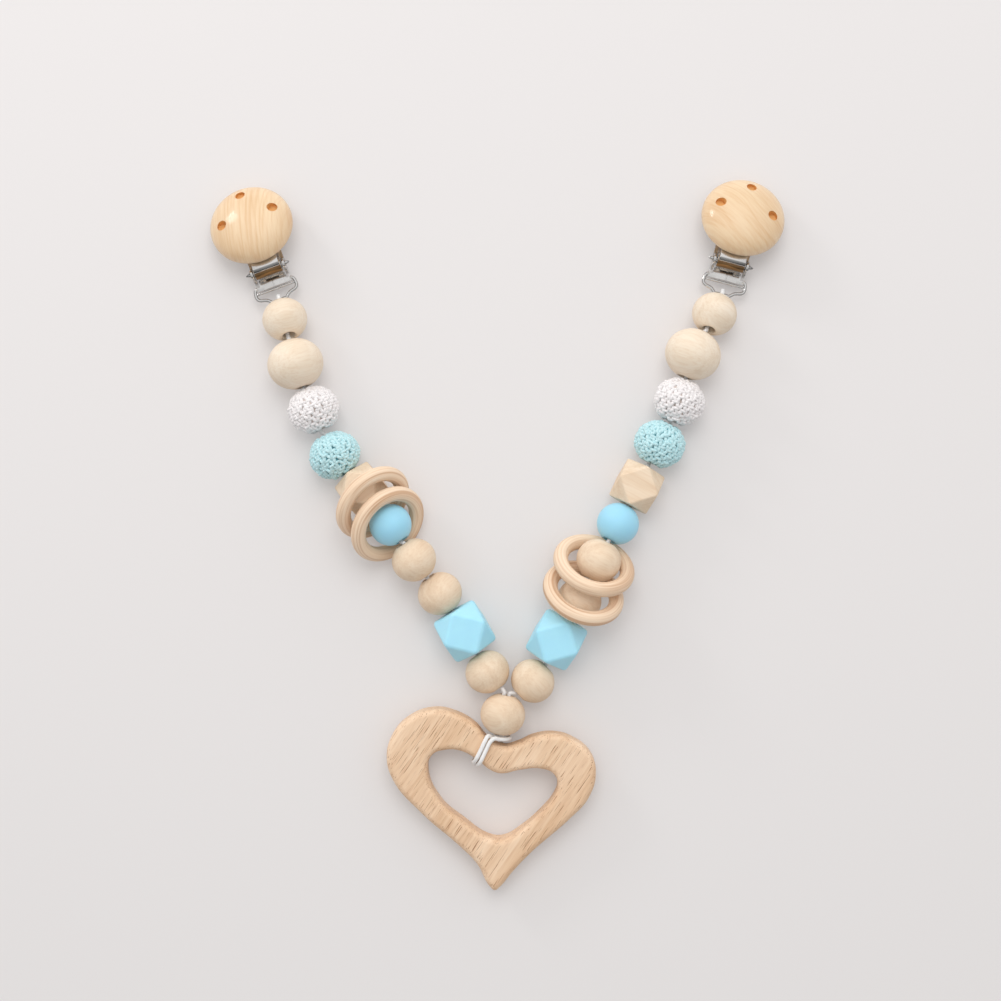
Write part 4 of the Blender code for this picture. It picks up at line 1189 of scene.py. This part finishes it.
world = bpy.data.worlds.new("studio")
bpy.context.scene.world = world
world.use_nodes = True
sky = world.node_tree.nodes["Background"]
sky.inputs["Strength"].default_value = 1.1
where = world.node_tree.nodes.new("ShaderNodeTexCoord")
apart = world.node_tree.nodes.new("ShaderNodeSeparateXYZ")
share = world.node_tree.nodes.new("ShaderNodeMapRange")
share.inputs["From Min"].default_value = -1.0
room = world.node_tree.nodes.new("ShaderNodeValToRGB")
for at, grey in ((0.5, 0.62), (0.85, 0.92)):
    room.color_ramp.elements.new(at).color = (grey, grey, grey, 1.0)
room.color_ramp.elements[0].color = (0.38, 0.38, 0.38, 1.0)
room.color_ramp.elements[-1].color = (1.0, 1.0, 1.0, 1.0)
path = world.node_tree.nodes.new("ShaderNodeLightPath")
height = world.node_tree.nodes.new("ShaderNodeValToRGB")
for at, grey in ((0.35, 0.16), (0.7, 0.9)):
    height.color_ramp.elements.new(at).color = (grey, grey, grey, 1.0)
height.color_ramp.elements[0].color = (0.08, 0.08, 0.08, 1.0)
height.color_ramp.elements[-1].color = (1.0, 1.0, 1.0, 1.0)
seen_by = world.node_tree.nodes.new("ShaderNodeMixRGB")
seen_by.blend_type = "MULTIPLY"
for source, socket in (
    (path.outputs["Is Glossy Ray"], seen_by.inputs["Fac"]),
    (apart.outputs["Z"], height.inputs["Fac"]),
    (room.outputs["Color"], seen_by.inputs["Color1"]),
    (height.outputs["Color"], seen_by.inputs["Color2"]),
    (seen_by.outputs["Color"], sky.inputs["Color"]),
    (where.outputs["Generated"], apart.inputs["Vector"]),
    (apart.outputs["Y"], share.inputs["Value"]),
    (share.outputs["Result"], room.inputs["Fac"]),
):
    world.node_tree.links.new(source, socket)


def lamp(name, place, aim, size, power, seen=True):
    """An area lamp; one that isn't seen leaves no highlight."""
    light = bpy.data.lights.new(name, "AREA")
    light.size = size
    light.energy = power
    made = bpy.data.objects.new(name, light)
    bpy.context.scene.collection.objects.link(made)
    made.location = place
    made.rotation_euler = (Vector(aim) - Vector(place)).to_track_quat("-Z", "Y").to_euler()
    made.visible_glossy = seen
    return made


lamp("key", (0.0, 0.56, 1.0), (0, 0.03, 0), 0.7, 4.6, seen=False)
lamp("window", (-0.62, 0.64, 0.34), (0, 0.1, 0), 0.2, 1.2)

# The photograph: straight down, its middle a little up the toy from the box's middle
VIEW_X = 0.0011
VIEW_Y = 0.0120
VIEW_WIDTH = 0.3575
VIEW_LEVEL = 0.0085
CAMERA_HEIGHT = 0.60
camera_data = bpy.data.cameras.new("camera")
camera = bpy.data.objects.new("camera", camera_data)
bpy.context.scene.collection.objects.link(camera)
camera.location = (VIEW_X, VIEW_Y, CAMERA_HEIGHT)
camera_data.sensor_fit = "HORIZONTAL"
camera_data.angle = 2 * math.atan(VIEW_WIDTH / 2 / (CAMERA_HEIGHT - VIEW_LEVEL))
bpy.context.scene.camera = camera
bpy.context.scene.view_settings.view_transform = "Standard"
